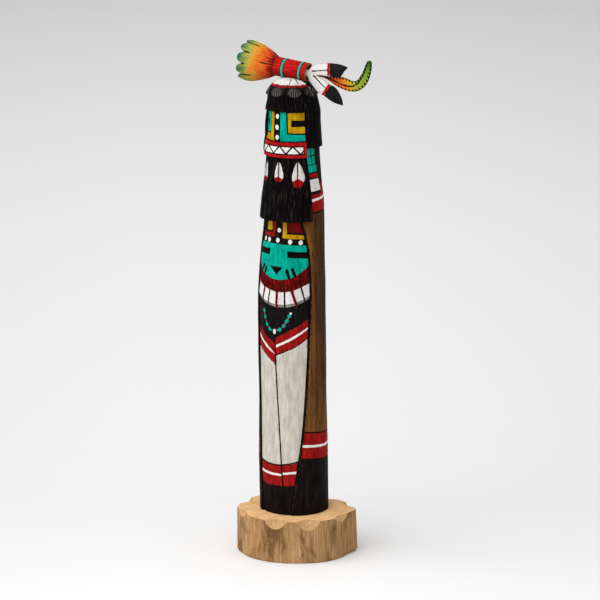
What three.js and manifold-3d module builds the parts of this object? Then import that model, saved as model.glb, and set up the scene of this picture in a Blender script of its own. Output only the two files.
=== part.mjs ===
// A carved and painted wooden figure: a trunk with a robe and a front panel, a masked head with beard and
// hair, a crown of short feathers, and a bundle of feathers that lies in a saddle on the crown.
// Millimetres. +Z is up and the figure faces -Y, so +X is the figure's left. The origin is on the trunk's
// axis, in the plane that the base stands on. A bearing is an angle in degrees from -Y towards +X.
import * as THREE from "three";
import { mergeVertices } from "three/addons/utils/BufferGeometryUtils.js";
import Module from "manifold-3d";

const wasm = await Module();
wasm.setup();

// Driving dimensions.
const CLEARANCE = 0.3; // between pieces that seat in one another

const BASE_HEIGHT = 27.6;
const BASE_LENGTH = 78.8; // across the slab's long way
const GOUGE_INSET = 4.6; // how far the deepest gouge runs in from the rim
const GOUGE_DROP = 6; // and how far down the side
const RIM_WEAR = 0.6; // the worn edge between two gouges
const FOOT_BEVEL = 0.9; // the worn edge of the base's underside

const FIGURE_HEIGHT = 281.4; // from the seat on the base to the top of the crown
const TRUNK_RADIUS = 22.4;
const PANEL_DEPTH = 1.15; // how far the front panel lies below the robe's edges
const RELIEF = 0.5; // how far the panel's face, fringe and feathers overhang each other
const FACE_ROUND = 0.45; // how far the panel's face swells at its middle
const LOCK_DEPTH = 0.35; // of the furrows between the locks of hair, beard and fringe
const EDGE_WIDTH = 0.7; // width of the slope at a carved edge

const PETALS = 8;
const PETAL_THICKNESS = 0.8;
const PETAL_REACH = 1.1; // how far a petal's tip overhangs the hair

const WRAP_RADIUS = 6.35; // the feather bundle's wrapped stem
const WRAP_LENGTH = 21.7;
const WRAP_CENTRE = 0.75; // how far the stem's middle lies on the fan's side of the trunk's axis
const FAN_LENGTH = 23.4;
const FAN_RADIUS = 12.9;
const FAN_LOBES = 10;
const LOBE_LENGTH = 3.6;
const FAN_DISH = 3; // depth of the hollow in the fan's end
const SADDLE_DEPTH = 2; // how deep the stem lies in the crown
const BUNDLE_TILT = 6.8; // degrees that the stem falls towards its feathers
const BUNDLE_YAW = 4; // degrees that the feathers turn back from +X

const SOCKET_WALL = 1.5;
const SOCKET_DEPTH = 3;
const FEATHER_REACH = 27.2; // of the two white feathers, from the stem's end
const PLUME_REACH = 42.5; // of the curved feather, from the stem's end
const FEATHER_THICKNESS = 1.7;
const FEATHER_EDGE = 0.7;

const radians = THREE.MathUtils.degToRad;
const lerp = THREE.MathUtils.lerp;

// A smooth curve through [x, y] keys, with its value held beyond the first and the last.
function smooth(keys, x) {
  const last = keys.length - 1;
  if (x <= keys[0][0]) return keys[0][1];
  if (x >= keys[last][0]) return keys[last][1];
  const i = keys.findIndex((key) => key[0] > x) - 1;
  const slope = (k) => {
    const a = keys[Math.max(k - 1, 0)];
    const b = keys[Math.min(k + 1, last)];
    return (b[1] - a[1]) / (b[0] - a[0]);
  };
  const [x0, y0] = keys[i];
  const [x1, y1] = keys[i + 1];
  const w = x1 - x0;
  const t = (x - x0) / w;
  const bend = t * (1 - t) * w;
  return (
    lerp(y0, y1, t * t * (3 - 2 * t)) + bend * ((1 - t) * slope(i) - t * slope(i + 1))
  );
}

// A closed skin over rings of points that all have the same number of columns, capped at both ends.
// Where two rings or columns meet in the same points the skin simply has no face.
function skin(rings) {
  const columns = rings[0].length;
  const capped = [];
  for (const end of [rings[0], rings[rings.length - 1]]) {
    const middle = end.reduce((sum, p) => sum.add(p), new THREE.Vector3()).divideScalar(columns);
    capped.push(Array(columns).fill(middle));
  }
  const all = [capped[0], ...rings, capped[1]];
  const points = [];
  for (let j = 0; j + 1 < all.length; j++) {
    for (let i = 0; i < columns; i++) {
      const k = (i + 1) % columns;
      const [a, b, c, d] = [all[j][i], all[j][k], all[j + 1][k], all[j + 1][i]];
      points.push(a, b, c, a, c, d);
    }
  }
  return solidGeometry(new THREE.BufferGeometry().setFromPoints(points));
}

// Shared corners merged, and the faces that shrank to nothing left out.
function solidGeometry(loose) {
  loose.deleteAttribute("normal");
  loose.deleteAttribute("uv");
  const merged = mergeVertices(loose, 1e-3);
  const kept = [];
  const index = merged.index.array;
  for (let i = 0; i < index.length; i += 3) {
    const [a, b, c] = index.subarray(i, i + 3);
    if (a !== b && b !== c && c !== a) kept.push(a, b, c);
  }
  merged.setIndex(kept);
  merged.computeVertexNormals();
  return merged;
}

function toManifold(geometry) {
  return new wasm.Manifold(
    new wasm.Mesh({
      numProp: 3,
      vertProperties: geometry.attributes.position.array,
      triVerts: new Uint32Array(geometry.index.array),
    }),
  );
}

function fromManifold(solid) {
  const mesh = solid.getMesh();
  const geometry = new THREE.BufferGeometry();
  geometry.setAttribute("position", new THREE.BufferAttribute(mesh.vertProperties, 3));
  geometry.setIndex(new THREE.BufferAttribute(mesh.triVerts, 1));
  geometry.computeVertexNormals();
  return geometry;
}

function piece(name, geometry, color, roughness) {
  const material = new THREE.MeshStandardMaterial({ color, roughness, metalness: 0 });
  const mesh = new THREE.Mesh(geometry, material);
  mesh.name = name;
  return mesh;
}

// The base, a slab of natural outline. Each key is a bearing and a share of half the slab's length.
const RIM = [
  [-110, 0.876], [-90, 0.888], [-75, 0.909], [-58, 0.944], [-38, 0.934], [-10, 0.934], [12, 0.929],
  [34, 0.929], [57, 0.964], [74, 0.98], [90, 0.972], [101, 0.985], [111, 1.035], [120, 0.975],
  [135, 0.9], [150, 0.838], [165, 0.8], [180, 0.787], [195, 0.8], [210, 0.825], [230, 0.85],
  [250, 0.876],
];
// Gouge cuts round the rim: bearing, half-width in degrees, share of the full cut.
const GOUGES = [
  [-82, 12, 0.9], [-38, 12, 0.5], [11, 12.5, 0.95], [45, 13, 1], [84, 11, 0.65], [127, 11, 0.75],
  [160, 12, 0.85], [197, 12, 0.7], [236, 12, 0.8],
];
const BASE_COLUMNS = 72;

function gougeAt(bearing) {
  return Math.max(
    ...GOUGES.map(([middle, half, share]) => {
      const away = THREE.MathUtils.euclideanModulo(bearing - middle + 180, 360) - 180;
      return share * Math.max(0, 1 - (away / half) ** 2);
    }),
  );
}

function baseGeometry() {
  // Height, share of the gouge's inset and the plain inset at the rings from the underside up.
  const rings = [
    () => [0, FOOT_BEVEL],
    () => [FOOT_BEVEL, 0],
    (cut) => [BASE_HEIGHT - Math.max(RIM_WEAR, cut * GOUGE_DROP), 0],
    (cut) => [BASE_HEIGHT - Math.max(RIM_WEAR, cut * GOUGE_DROP) * 0.5, cut * GOUGE_INSET * 0.62],
    (cut) => [BASE_HEIGHT, Math.max(RIM_WEAR, cut * GOUGE_INSET)],
  ].map((level) =>
    Array.from({ length: BASE_COLUMNS }, (_, i) => {
      const bearing = -110 + (360 * i) / BASE_COLUMNS;
      const [z, inset] = level(gougeAt(bearing));
      const radius = (smooth(RIM, bearing) * BASE_LENGTH) / 2 - inset;
      const angle = radians(bearing);
      return new THREE.Vector3(radius * Math.sin(angle), -radius * Math.cos(angle), z);
    }),
  );
  return skin(rings);
}

// The figure. Heights are shares of FIGURE_HEIGHT and radii are shares of TRUNK_RADIUS.
// LEAN is how far the centre line leaves the trunk's axis, along LEAN_WAY.
const LEAN = [
  [0, 0], [0.06, 0.014], [0.12, 0.024], [0.25, 0.039], [0.37, 0.057], [0.46, 0.071], [0.51, 0.071],
  [0.57, 0.055], [0.615, 0.037], [0.65, 0.012], [0.684, 0], [0.8, 0], [0.92, 0.018], [0.95, 0.03],
  [0.967, 0.058], [1, 0.062],
];
const LEAN_WAY = [-0.6, -0.943];
const ROBE = [
  [0, 0.998], [0.12, 1], [0.25, 0.975], [0.37, 0.98], [0.46, 0.977], [0.51, 0.967], [0.57, 0.938],
  [0.615, 0.909], [0.65, 0.882], [0.684, 0.866], [0.726, 0.844], [0.758, 0.79], [0.797, 0.754],
  [0.819, 0.737], [0.85, 0.723],
];
const BEARD = [[0.684, 0.989], [0.726, 0.942], [0.758, 0.888], [0.797, 0.833], [0.8266, 0.8]];
const MOUTH = [[0.8266, 0.863], [0.845, 0.835], [0.861, 0.812]];
const MASK = [[0.861, 0.79], [0.8756, 0.782], [0.9076, 0.739], [0.925, 0.723]];
const HAIR = [
  [0.848, 0.81], [0.8756, 0.786], [0.9076, 0.776], [0.925, 0.767], [0.95, 0.713], [0.9645, 0.69],
  [0.976, 0.64],
];
// The robe's two edges: bearings by height.
const RIGHT_EDGE = [
  [0, 25], [0.028, 28], [0.076, 34.6], [0.13, 41.4], [0.211, 50], [0.31, 56.7], [0.42, 62],
  [0.5, 65.3], [0.55, 65], [0.61, 61], [0.655, 51.5], [0.684, 45],
];
const LEFT_EDGE = [
  [0, -36.5], [0.11, -42.5], [0.26, -47], [0.42, -50], [0.57, -51], [0.64, -49], [0.684, -44],
];
// The beard's, mask's and hair's common side edge, alike on both sides.
const CHEEK_EDGE = [
  [0.684, 64.3], [0.744, 64.2], [0.79, 61.6], [0.8266, 57.3], [0.861, 57.2], [0.8756, 58.8], [0.925, 62],
];

const BEARD_FOOT = 0.684;
const SHOULDER_FOOT = 0.692; // where the columns behind the beard begin
const MOUTH_FOOT = 0.8266;
const HAIR_FOOT = 0.848;
const MOUTH_TOP = 0.861;
const BANGS_FOOT = 0.925;
const BANGS_TOP = 0.95;
const PETAL_FOOT = 0.9645; // a petal's tip
const PETAL_NOTCH = 0.977; // the notch between two petals
const RED_RING = [0.983, 0.594]; // height and radius of the ring round the crown's middle
const DOME = [[0.9897, 0.5312], [0.9955, 0.4], [0.999, 0.22]];

const COLUMNS = 8 * PETALS;
const FIRST_BEARING = -166; // puts a notch between two petals at 14 degrees
const CHEEK = [17, 18, 41, 42]; // columns on both sides of the left and of the right cheek edge
const PANEL = [21, 22, 37, 38]; // and of the robe's left and right edges

// Bearings of all columns, with the four named columns on both sides of two edges.
function bearings([a, b, c, d], leftEdge, rightEdge, radius) {
  const half = THREE.MathUtils.radToDeg(EDGE_WIDTH / 2 / radius);
  const keys = [
    [a, leftEdge - half], [b, leftEdge + half], [c, rightEdge - half], [d, rightEdge + half],
    [a + COLUMNS, leftEdge - half + 360],
  ];
  return Array.from({ length: COLUMNS }, (_, i) => {
    const n = i < a ? i + COLUMNS : i;
    const k = keys.findIndex((key) => key[0] > n) - 1;
    const [[n0, t0], [n1, t1]] = k < 0 ? keys.slice(-2) : keys.slice(k, k + 2);
    return lerp(t0, t1, (n - n0) / (n1 - n0)) - (i < a ? 360 : 0);
  });
}

const evenBearings = Array.from({ length: COLUMNS }, (_, i) => FIRST_BEARING + (360 * i) / COLUMNS);

function onFigure(bearing, height, radius) {
  const lean = smooth(LEAN, height) * TRUNK_RADIUS;
  const angle = radians(bearing);
  return new THREE.Vector3(
    lean * LEAN_WAY[0] + radius * Math.sin(angle),
    lean * LEAN_WAY[1] - radius * Math.cos(angle),
    BASE_HEIGHT + height * FIGURE_HEIGHT,
  );
}

// Every second column lies deeper, which leaves furrows between locks.
const furrow = (i, depth) => (i % 2) * depth;

// A ring of the trunk. Inside the panel it dips towards the middle, and lies deeper than the robe.
function trunkRing(height, dip, depth, round = 0, locks = 0) {
  const left = smooth(LEFT_EDGE, height);
  const right = smooth(RIGHT_EDGE, height);
  const [a, b, c, d] = PANEL;
  return bearings(PANEL, left, right, TRUNK_RADIUS).map((bearing, i) => {
    const inside = i >= b && i <= c;
    const across = (2 * (bearing - left)) / (right - left) - 1;
    const z = inside ? height - dip * (1 - across ** 2) : height;
    const edge = i === a || i === d ? EDGE_WIDTH / 4 : 0;
    const carved = depth - round * (1 - across ** 2) + furrow(i, locks);
    return onFigure(bearing, z, smooth(ROBE, z) * TRUNK_RADIUS - (inside ? carved : edge));
  });
}

// A ring of the head. The front part lies between the cheek edges, the back part is all the rest.
// Each part has its profile and the depth of its furrows.
function headRing(frontHeight, backHeight, front, back) {
  const edge = smooth(CHEEK_EDGE, frontHeight);
  const [, b, c] = CHEEK;
  return bearings(CHEEK, -edge, edge, TRUNK_RADIUS).map((bearing, i) => {
    const inside = i >= b && i <= c;
    const height = inside ? frontHeight : backHeight;
    const [profile, locks] = inside ? front : back;
    return onFigure(bearing, height, smooth(profile, height) * TRUNK_RADIUS - furrow(i, locks));
  });
}

// A ring of the crown. Across a petal, lobe runs from 0 at its notches to 1 at its tip.
function petalRing(overhang, lift) {
  return evenBearings.map((bearing, i) => {
    const lobe = Math.sin((Math.PI * (i % PETALS)) / (COLUMNS / PETALS)) ** 0.7;
    const height = lerp(PETAL_NOTCH, PETAL_FOOT, lobe);
    const reach = overhang * (0.2 + PETAL_REACH * lobe);
    return onFigure(
      bearing,
      height + lift / FIGURE_HEIGHT,
      smooth(HAIR, height) * TRUNK_RADIUS + reach,
    );
  });
}

function figureGeometry() {
  const chest = PANEL_DEPTH;
  const under = PANEL_DEPTH - 0.2 * RELIEF;
  const proud = PANEL_DEPTH - 1.2 * RELIEF;
  const rings = [];
  // The robe's skirt and the chest.
  for (let h = 0; h < 0.4; h += 0.04) rings.push(trunkRing(h, 0, chest));
  rings.push(trunkRing(0.41, 0, chest), trunkRing(0.44, 0.007, chest), trunkRing(0.48, 0.016, chest));
  // Feather collar, fringe and face, each standing proud of what lies below it.
  rings.push(trunkRing(0.5131, 0.0206, chest), trunkRing(0.5131, 0.0206, proud));
  rings.push(trunkRing(0.5416, 0.0203, under), trunkRing(0.5416, 0.0203, proud, 0, LOCK_DEPTH));
  rings.push(trunkRing(0.563, 0.0274, under, 0, LOCK_DEPTH), trunkRing(0.5842, 0.0345, under));
  rings.push(trunkRing(0.5842, 0.0345, proud, FACE_ROUND / 2));
  rings.push(trunkRing(0.602, 0.025, proud, FACE_ROUND), trunkRing(0.622, 0.0142, proud, FACE_ROUND));
  rings.push(trunkRing(0.642, 0.007, under, FACE_ROUND / 2), trunkRing(0.662, 0.0035, chest));
  rings.push(trunkRing(BEARD_FOOT, 0, chest));
  // The beard in front, with the robe's shoulders behind it.
  const [beard, mouth, mask] = [[BEARD, LOCK_DEPTH], [MOUTH, 0], [MASK, 0]];
  const [robe, hair] = [[ROBE, 0], [HAIR, LOCK_DEPTH]];
  for (const t of [0, 0.12, 0.28, 0.42, 0.56, 0.7, 0.85, 1]) {
    const front = lerp(BEARD_FOOT, MOUTH_FOOT, t);
    rings.push(headRing(front, lerp(SHOULDER_FOOT, HAIR_FOOT, t), beard, robe));
  }
  // The mouth and the mask in front, with the hair behind them.
  for (const t of [0, 0.5, 1]) {
    rings.push(headRing(lerp(MOUTH_FOOT, MOUTH_TOP, t), lerp(HAIR_FOOT, MOUTH_TOP, t), mouth, hair));
  }
  for (const t of [0, 0.25, 0.5, 0.75, 1]) {
    const height = lerp(MOUTH_TOP, BANGS_FOOT, t);
    rings.push(headRing(height, height, mask, hair));
  }
  // Hair all round, then the petals of the crown and its dome.
  rings.push(headRing(BANGS_FOOT, BANGS_FOOT, hair, hair));
  const even = (height, radius, locks = 0) =>
    evenBearings.map((bearing, i) => onFigure(bearing, height, radius - furrow(i, locks)));
  for (const height of [lerp(BANGS_FOOT, BANGS_TOP, 0.5), BANGS_TOP]) {
    rings.push(even(height, smooth(HAIR, height) * TRUNK_RADIUS, LOCK_DEPTH));
  }
  rings.push(petalRing(0, 0), petalRing(1, 0), petalRing(0.95, PETAL_THICKNESS));
  rings.push(even(RED_RING[0], RED_RING[1] * TRUNK_RADIUS));
  for (const [height, radius] of DOME) rings.push(even(height, radius * TRUNK_RADIUS));
  return skin(rings);
}

// The bundle's own frame: X runs along the stem towards the feathers, and Z is up from the stem.
const bundle = new THREE.Group();
bundle.position.z = BASE_HEIGHT + FIGURE_HEIGHT - SADDLE_DEPTH + WRAP_RADIUS;
bundle.rotation.set(0, radians(BUNDLE_TILT), radians(BUNDLE_YAW), "ZYX");
bundle.updateMatrix();

const NECK = -WRAP_CENTRE - WRAP_LENGTH / 2;
const STEM_END = NECK + WRAP_LENGTH;
const BUNDLE_COLUMNS = 4 * FAN_LOBES;
// The fan's flare from its rim to its neck: share of its length, and of the way from neck to rim radius.
const FLARE = [[0, 0.95], [0.15, 1], [0.3, 0.94], [0.45, 0.82], [0.62, 0.6], [0.8, 0.34], [0.92, 0.1], [1, 0]];
const NECK_RADIUS = WRAP_RADIUS - 0.3;

function around(x, radius, columns = BUNDLE_COLUMNS) {
  return Array.from({ length: columns }, (_, i) => {
    const angle = (2 * Math.PI * i) / columns;
    return new THREE.Vector3(
      typeof x === "function" ? x(i) : x, radius * Math.cos(angle), radius * Math.sin(angle),
    );
  });
}

function fanRadius(share) {
  return lerp(NECK_RADIUS, FAN_RADIUS, smooth(FLARE, share));
}

function bundleGeometry() {
  const tip = NECK - FAN_LENGTH;
  const lobe = (i) => 1 - Math.abs(Math.sin((Math.PI * i) / (BUNDLE_COLUMNS / FAN_LOBES)));
  const edge = (i) => tip + LOBE_LENGTH * lobe(i) ** 1.5;
  const socket = WRAP_RADIUS - SOCKET_WALL;
  const rings = [
    around(tip + LOBE_LENGTH + FAN_DISH, FAN_RADIUS * 0.3),
    around((i) => edge(i) + 0.4, FAN_RADIUS * 0.86),
    around(edge, fanRadius(0)),
    around(tip + LOBE_LENGTH * 1.1, fanRadius(0.15)),
  ];
  for (const share of [0.3, 0.45, 0.62, 0.8, 0.92, 1]) {
    rings.push(around(tip + FAN_LENGTH * share, fanRadius(share)));
  }
  rings.push(around(NECK, WRAP_RADIUS), around(STEM_END, WRAP_RADIUS));
  rings.push(around(STEM_END, socket), around(STEM_END - SOCKET_DEPTH, socket));
  return skin(rings);
}

// A flat carved feather in the bundle's XZ plane, between two edges that are curves through points.
// Its section is a low ridge along the middle, on both faces.
function featherGeometry(upper, lower, reach, y, steps) {
  const [top, bottom] = [upper, lower].map((points) => {
    const placed = points.map(([x, z]) => new THREE.Vector3(x * reach, 0, z * reach));
    return new THREE.CatmullRomCurve3(placed, false, "centripetal");
  });
  const rings = [];
  for (let k = 0; k <= steps; k++) {
    const a = top.getPointAt(k / steps);
    const b = bottom.getPointAt(k / steps);
    const width = Math.min(1, a.distanceTo(b) / FEATHER_THICKNESS / 1.5);
    const ring = [[0, -1], [0.5, -1], [1, -1], [1, 1], [0.5, 1], [0, 1]].map(([across, side]) => {
      const thick = across === 0.5 ? lerp(FEATHER_EDGE, FEATHER_THICKNESS, width) : FEATHER_EDGE;
      const p = a.clone().lerp(b, across);
      return new THREE.Vector3(p.x + STEM_END, y + (side * thick) / 2, p.z);
    });
    rings.push(ring);
  }
  return skin(rings);
}

// Edges of the feathers, as shares of their reach, from the stem's end.
const ROOT = [-(SOCKET_DEPTH - CLEARANCE) / FEATHER_REACH, 1.5 / FEATHER_REACH];
const UPPER_FEATHER = [
  [[ROOT[0], ROOT[1]], [0.03, 0.09], [0.1, 0.19], [0.21, 0.255], [0.45, 0.32], [0.75, 0.35], [0.9, 0.34], [1, 0.316]],
  [[ROOT[0], -ROOT[1]], [0.06, -0.05], [0.18, -0.02], [0.35, 0.015], [0.55, 0.04], [0.82, 0.055], [0.92, 0.21], [0.99, 0.3]],
];
const LOWER_FEATHER = [
  [[ROOT[0], ROOT[1]], [0.12, 0.03], [0.25, -0.02], [0.37, -0.06], [0.57, -0.155], [0.74, -0.205], [0.86, -0.32], [0.945, -0.45], [0.98, -0.56]],
  [[ROOT[0], -ROOT[1]], [0.02, -0.09], [0.065, -0.17], [0.18, -0.275], [0.31, -0.385], [0.5, -0.455], [0.63, -0.515], [0.78, -0.562], [0.975, -0.58]],
];
const PLUME = [
  [[-(SOCKET_DEPTH - CLEARANCE) / PLUME_REACH, 0.012], [0.1, 0], [0.24, -0.003], [0.37, 0.012], [0.53, 0.033], [0.65, 0.02], [0.72, 0.007], [0.785, 0.03], [0.835, 0.1], [0.87, 0.18], [0.9, 0.285], [0.925, 0.345], [0.96, 0.362]],
  [[-(SOCKET_DEPTH - CLEARANCE) / PLUME_REACH, -0.03], [0.1, -0.035], [0.24, -0.03], [0.33, -0.052], [0.42, -0.092], [0.5, -0.122], [0.6, -0.143], [0.69, -0.15], [0.79, -0.135], [0.865, -0.092], [0.932, -0.02], [0.97, 0.06], [0.99, 0.14], [1, 0.25], [0.99, 0.34]],
];
const LAYER = FEATHER_THICKNESS / 2 + CLEARANCE / 2; // the two layers of feathers lie beside each other

const whiteFeathers = toManifold(featherGeometry(...UPPER_FEATHER, FEATHER_REACH, -LAYER, 16)).add(
  toManifold(featherGeometry(...LOWER_FEATHER, FEATHER_REACH, -LAYER, 16)),
);

// The bed that the stem lies in is cut from the crown.
const bed = toManifold(
  skin([around(NECK, WRAP_RADIUS + CLEARANCE), around(STEM_END, WRAP_RADIUS + CLEARANCE)])
    .applyMatrix4(bundle.matrix),
);
const figure = toManifold(figureGeometry()).subtract(bed);

const group = new THREE.Group();
group.name = "carved_figure";
group.add(piece("base", baseGeometry(), 0xb9915f, 0.85));
group.add(piece("figure", fromManifold(figure), 0x5a3a1e, 0.6));
bundle.add(piece("feather_bundle", bundleGeometry(), 0xd71e20, 0.55));
bundle.add(piece("white_feathers", fromManifold(whiteFeathers), 0xe8e4dc, 0.6));
bundle.add(piece("parrot_feather", featherGeometry(...PLUME, PLUME_REACH, LAYER, 30), 0xe0902a, 0.6));
group.add(bundle);

export default group;
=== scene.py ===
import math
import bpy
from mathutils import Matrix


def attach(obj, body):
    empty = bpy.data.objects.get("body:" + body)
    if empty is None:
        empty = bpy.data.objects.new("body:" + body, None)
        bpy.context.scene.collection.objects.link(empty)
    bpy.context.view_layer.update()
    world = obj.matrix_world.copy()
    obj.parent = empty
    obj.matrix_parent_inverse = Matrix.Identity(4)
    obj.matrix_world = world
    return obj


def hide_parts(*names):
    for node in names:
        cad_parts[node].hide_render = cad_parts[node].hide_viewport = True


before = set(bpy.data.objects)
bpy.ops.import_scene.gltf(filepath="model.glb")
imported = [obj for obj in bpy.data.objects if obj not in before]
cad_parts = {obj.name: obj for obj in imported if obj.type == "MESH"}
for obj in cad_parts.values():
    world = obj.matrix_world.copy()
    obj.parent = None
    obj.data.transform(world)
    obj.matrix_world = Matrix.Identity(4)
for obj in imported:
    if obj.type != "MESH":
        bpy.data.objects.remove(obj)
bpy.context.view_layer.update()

# A carved and painted wooden figure on a slab of wood, with a bundle of carved feathers on its crown.
# Shapes are worked out in millimetres, in the part's own frame, and become metres where a mesh is made.
# A bearing is an angle in degrees from -Y, the figure's front, towards +X. Heights on the figure are
# millimetres above its seat on the base, and shares of its height in the profiles.
from types import SimpleNamespace
import bpy
import numpy as np
from mathutils import Euler, Vector

MM = 0.001

# Sizes, as in the part.
CLEARANCE = 0.3
BASE_HEIGHT = 27.6
BASE_LENGTH = 78.8
GOUGE_INSET = 4.6
GOUGE_DROP = 6
RIM_WEAR = 0.6
FOOT_BEVEL = 0.9
FIGURE_HEIGHT = 281.4
TRUNK_RADIUS = 22.4
PANEL_DEPTH = 1.15
RELIEF = 0.5
FACE_ROUND = 0.45
EDGE_WIDTH = 0.7
PETALS = 8
PETAL_THICKNESS = 0.8
PETAL_REACH = 1.1
FIRST_NOTCH = -166
WRAP_RADIUS = 6.35
WRAP_LENGTH = 21.7
WRAP_CENTRE = 0.75
FAN_LENGTH = 23.4
FAN_RADIUS = 12.9
FAN_LOBES = 10
LOBE_LENGTH = 3.6
FAN_DISH = 3
SADDLE_DEPTH = 2
BUNDLE_TILT = 6.8
BUNDLE_YAW = 4
SOCKET_WALL = 1.5
SOCKET_DEPTH = 3
FEATHER_REACH = 27.2
PLUME_REACH = 42.5
FEATHER_THICKNESS = 1.7
FEATHER_EDGE = 0.7

# Relief that only the scene has. The skin lies a little inside the solid, so that no facet passes it.
STRAND_DEPTH = 0.5
GROOVE_DEPTH = 0.22
FIGURE_INSET = 0.13
CORNER_RELIEF = 1.1
CORNER_BEARING = -60
CORNER_WIDTH = 20
BANGS_EDGE = 62
BASE_INSET = 0.3
FOOT_FLARE = 1.0
FLARE_BEARING = 106
FLARE_WIDTH = 18
PETAL_HANG = 0.0025

# The photograph's view, from the right of the figure's front.
VIEW_BEARING = 31
VIEW_DISTANCE = 2000
VIEW_HEIGHT = 620.03
VIEW_ASIDE = 3.64
VIEW_FALL = 12.823
LENS = 192.5
SENSOR = 36


def lerp(a, b, t):
    return a + (b - a) * t


def steps(count):
    """Even shares up to 1, without 0."""
    return np.linspace(0, 1, count + 1)[1:]


def ease(x, low, high):
    t = np.clip((x - low) / (high - low), 0, 1)
    return t * t * (3 - 2 * t)


def smooth(keys, x):
    """A smooth curve through [x, y] keys, with its value held beyond the first and the last."""
    kx, ky = np.asarray(keys, float).T
    slope = np.empty(len(kx))
    slope[1:-1] = (ky[2:] - ky[:-2]) / (kx[2:] - kx[:-2])
    slope[[0, -1]] = (ky[[1, -1]] - ky[[0, -2]]) / (kx[[1, -1]] - kx[[0, -2]])
    x = np.clip(x, kx[0], kx[-1])
    i = np.clip(np.searchsorted(kx, x, side="right") - 1, 0, len(kx) - 2)
    w = kx[i + 1] - kx[i]
    t = (x - kx[i]) / w
    bend = t * (1 - t) * w * ((1 - t) * slope[i] - t * slope[i + 1])
    return lerp(ky[i], ky[i + 1], t * t * (3 - 2 * t)) + bend


def cell(i, j, seed):
    v = np.sin(i * 127.1 + j * 311.7 + seed * 74.7) * 43758.5453
    return v - np.floor(v)


def noise(x, y, seed=0):
    """Smooth noise from -1 to 1 over a plane."""
    i, j = np.floor(x), np.floor(y)
    u, v = ease(x - i, 0, 1), ease(y - j, 0, 1)
    low = lerp(cell(i, j, seed), cell(i + 1, j, seed), u)
    high = lerp(cell(i, j + 1, seed), cell(i + 1, j + 1, seed), u)
    return 2 * lerp(low, high, v) - 1


def cylinder(bearing, radius, z):
    angle = np.radians(bearing)
    return np.stack([radius * np.sin(angle), -radius * np.cos(angle), z + 0 * angle], -1)


# Meshes. Points closer than WELD, in millimetres, are one.
WELD = 1e-4


def link(name, data):
    item = bpy.data.objects.new(name, data)
    bpy.context.scene.collection.objects.link(item)
    return item


class Rings:
    """Rows of values round a shape. Each value is a number or has one for every column."""

    def __init__(self, columns):
        self.columns = columns
        self.rows = []

    def add(self, *values):
        self.rows.append([value + np.zeros(self.columns) for value in values])

    def arrays(self):
        return np.array(self.rows).swapaxes(0, 1)


def grid_mesh(name, points, fields, sharp=40):
    """A skin over rows of points, closed round its columns. Points that coincide with the one below
    or, in a first or last row, with each other are welded. fields are values for each point."""
    rows, cols = points.shape[:2]
    ids = np.arange(rows * cols).reshape(rows, cols)
    for j in range(1, rows):
        same = np.abs(points[j] - points[j - 1]).max(-1) < WELD
        ids[j][same] = ids[j - 1][same]
    for j in (0, rows - 1):
        if np.ptp(points[j], axis=0).max() < WELD:
            ids[j] = ids[j][0]
    i = np.arange(cols)
    j = np.arange(rows - 1)[:, None]
    k = (i + 1) % cols
    corner = np.stack([ids[j, i], ids[j, k], ids[j + 1, k], ids[j + 1, i]], -1).reshape(-1, 4)
    spread_out = (rows - 1, cols)
    uv = np.stack([
        np.stack([np.broadcast_to(u, spread_out), np.broadcast_to(v, spread_out)], -1)
        for u, v in [((i + du) / cols, (j + dv) / (rows - 1)) for du, dv in ((0, 0), (1, 0), (1, 1), (0, 1))]
    ], 2).reshape(-1, 4, 2)
    different = corner != np.roll(corner, -1, axis=1)
    whole = different.all(1)
    faces = corner[whole].tolist()
    chart = [uv[whole].reshape(-1, 2)]
    for side in range(4):
        keep = [n for n in range(4) if n != side]
        lone = (~different[:, side]) & (different.sum(1) == 3)
        faces += corner[lone][:, keep].tolist()
        chart.append(uv[lone][:, keep].reshape(-1, 2))
    used, inverse = np.unique(np.concatenate([np.ravel(f) for f in faces]), return_inverse=True)
    ends = np.cumsum([len(f) for f in faces])
    faces = [list(f) for f in np.split(inverse, ends[:-1])]
    mesh = bpy.data.meshes.new(name)
    mesh.from_pydata((points.reshape(-1, 3)[used] * MM).tolist(), [], faces)
    mesh.uv_layers.new(name="OFBake").data.foreach_set("uv", np.concatenate(chart).ravel())
    for field, values in fields.items():
        store = mesh.attributes.new(field, "FLOAT", "POINT")
        store.data.foreach_set("value", values.reshape(-1)[used].astype(np.float32))
    mesh.polygons.foreach_set("use_smooth", np.ones(len(mesh.polygons), bool))
    mesh.set_sharp_from_angle(angle=math.radians(sharp))
    mesh.validate()
    return link(name, mesh)


def capped_mesh(name, points, fields, ends, sharp):
    """A skin with a point that closes its first row, for an end of 0, or its last, for -1."""
    for end in ends:
        middle = np.zeros_like(points[:1]) + points[end].mean(axis=0)
        points = np.concatenate([points, middle] if end else [middle, points])
        fields = {
            key: np.concatenate([v, v[-1:]] if end else [v[:1], v]) for key, v in fields.items()
        }
    return grid_mesh(name, points, fields, sharp)


def dress(piece, material, node):
    piece.data.materials.append(material)
    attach(piece, "root")
    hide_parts(node)


# Distances on a flat layout, positive inside a shape

OUTSIDE = -9.0
COAT = 3.0


def to_path(x, y, path):
    """Distance from each point to a chain of segments, and how far along it the nearest place is."""
    best = np.full(x.shape, 1e9)
    along = np.zeros(x.shape)
    count = len(path) - 1
    for n, ((ax, ay), (bx, by)) in enumerate(zip(path, path[1:])):
        dx, dy = bx - ax, by - ay
        t = np.clip(((x - ax) * dx + (y - ay) * dy) / (dx * dx + dy * dy), 0, 1)
        d = np.hypot(x - ax - t * dx, y - ay - t * dy)
        nearer = d < best
        best = np.where(nearer, d, best)
        along = np.where(nearer, (n + t) / count, along)
    return best, along


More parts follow.
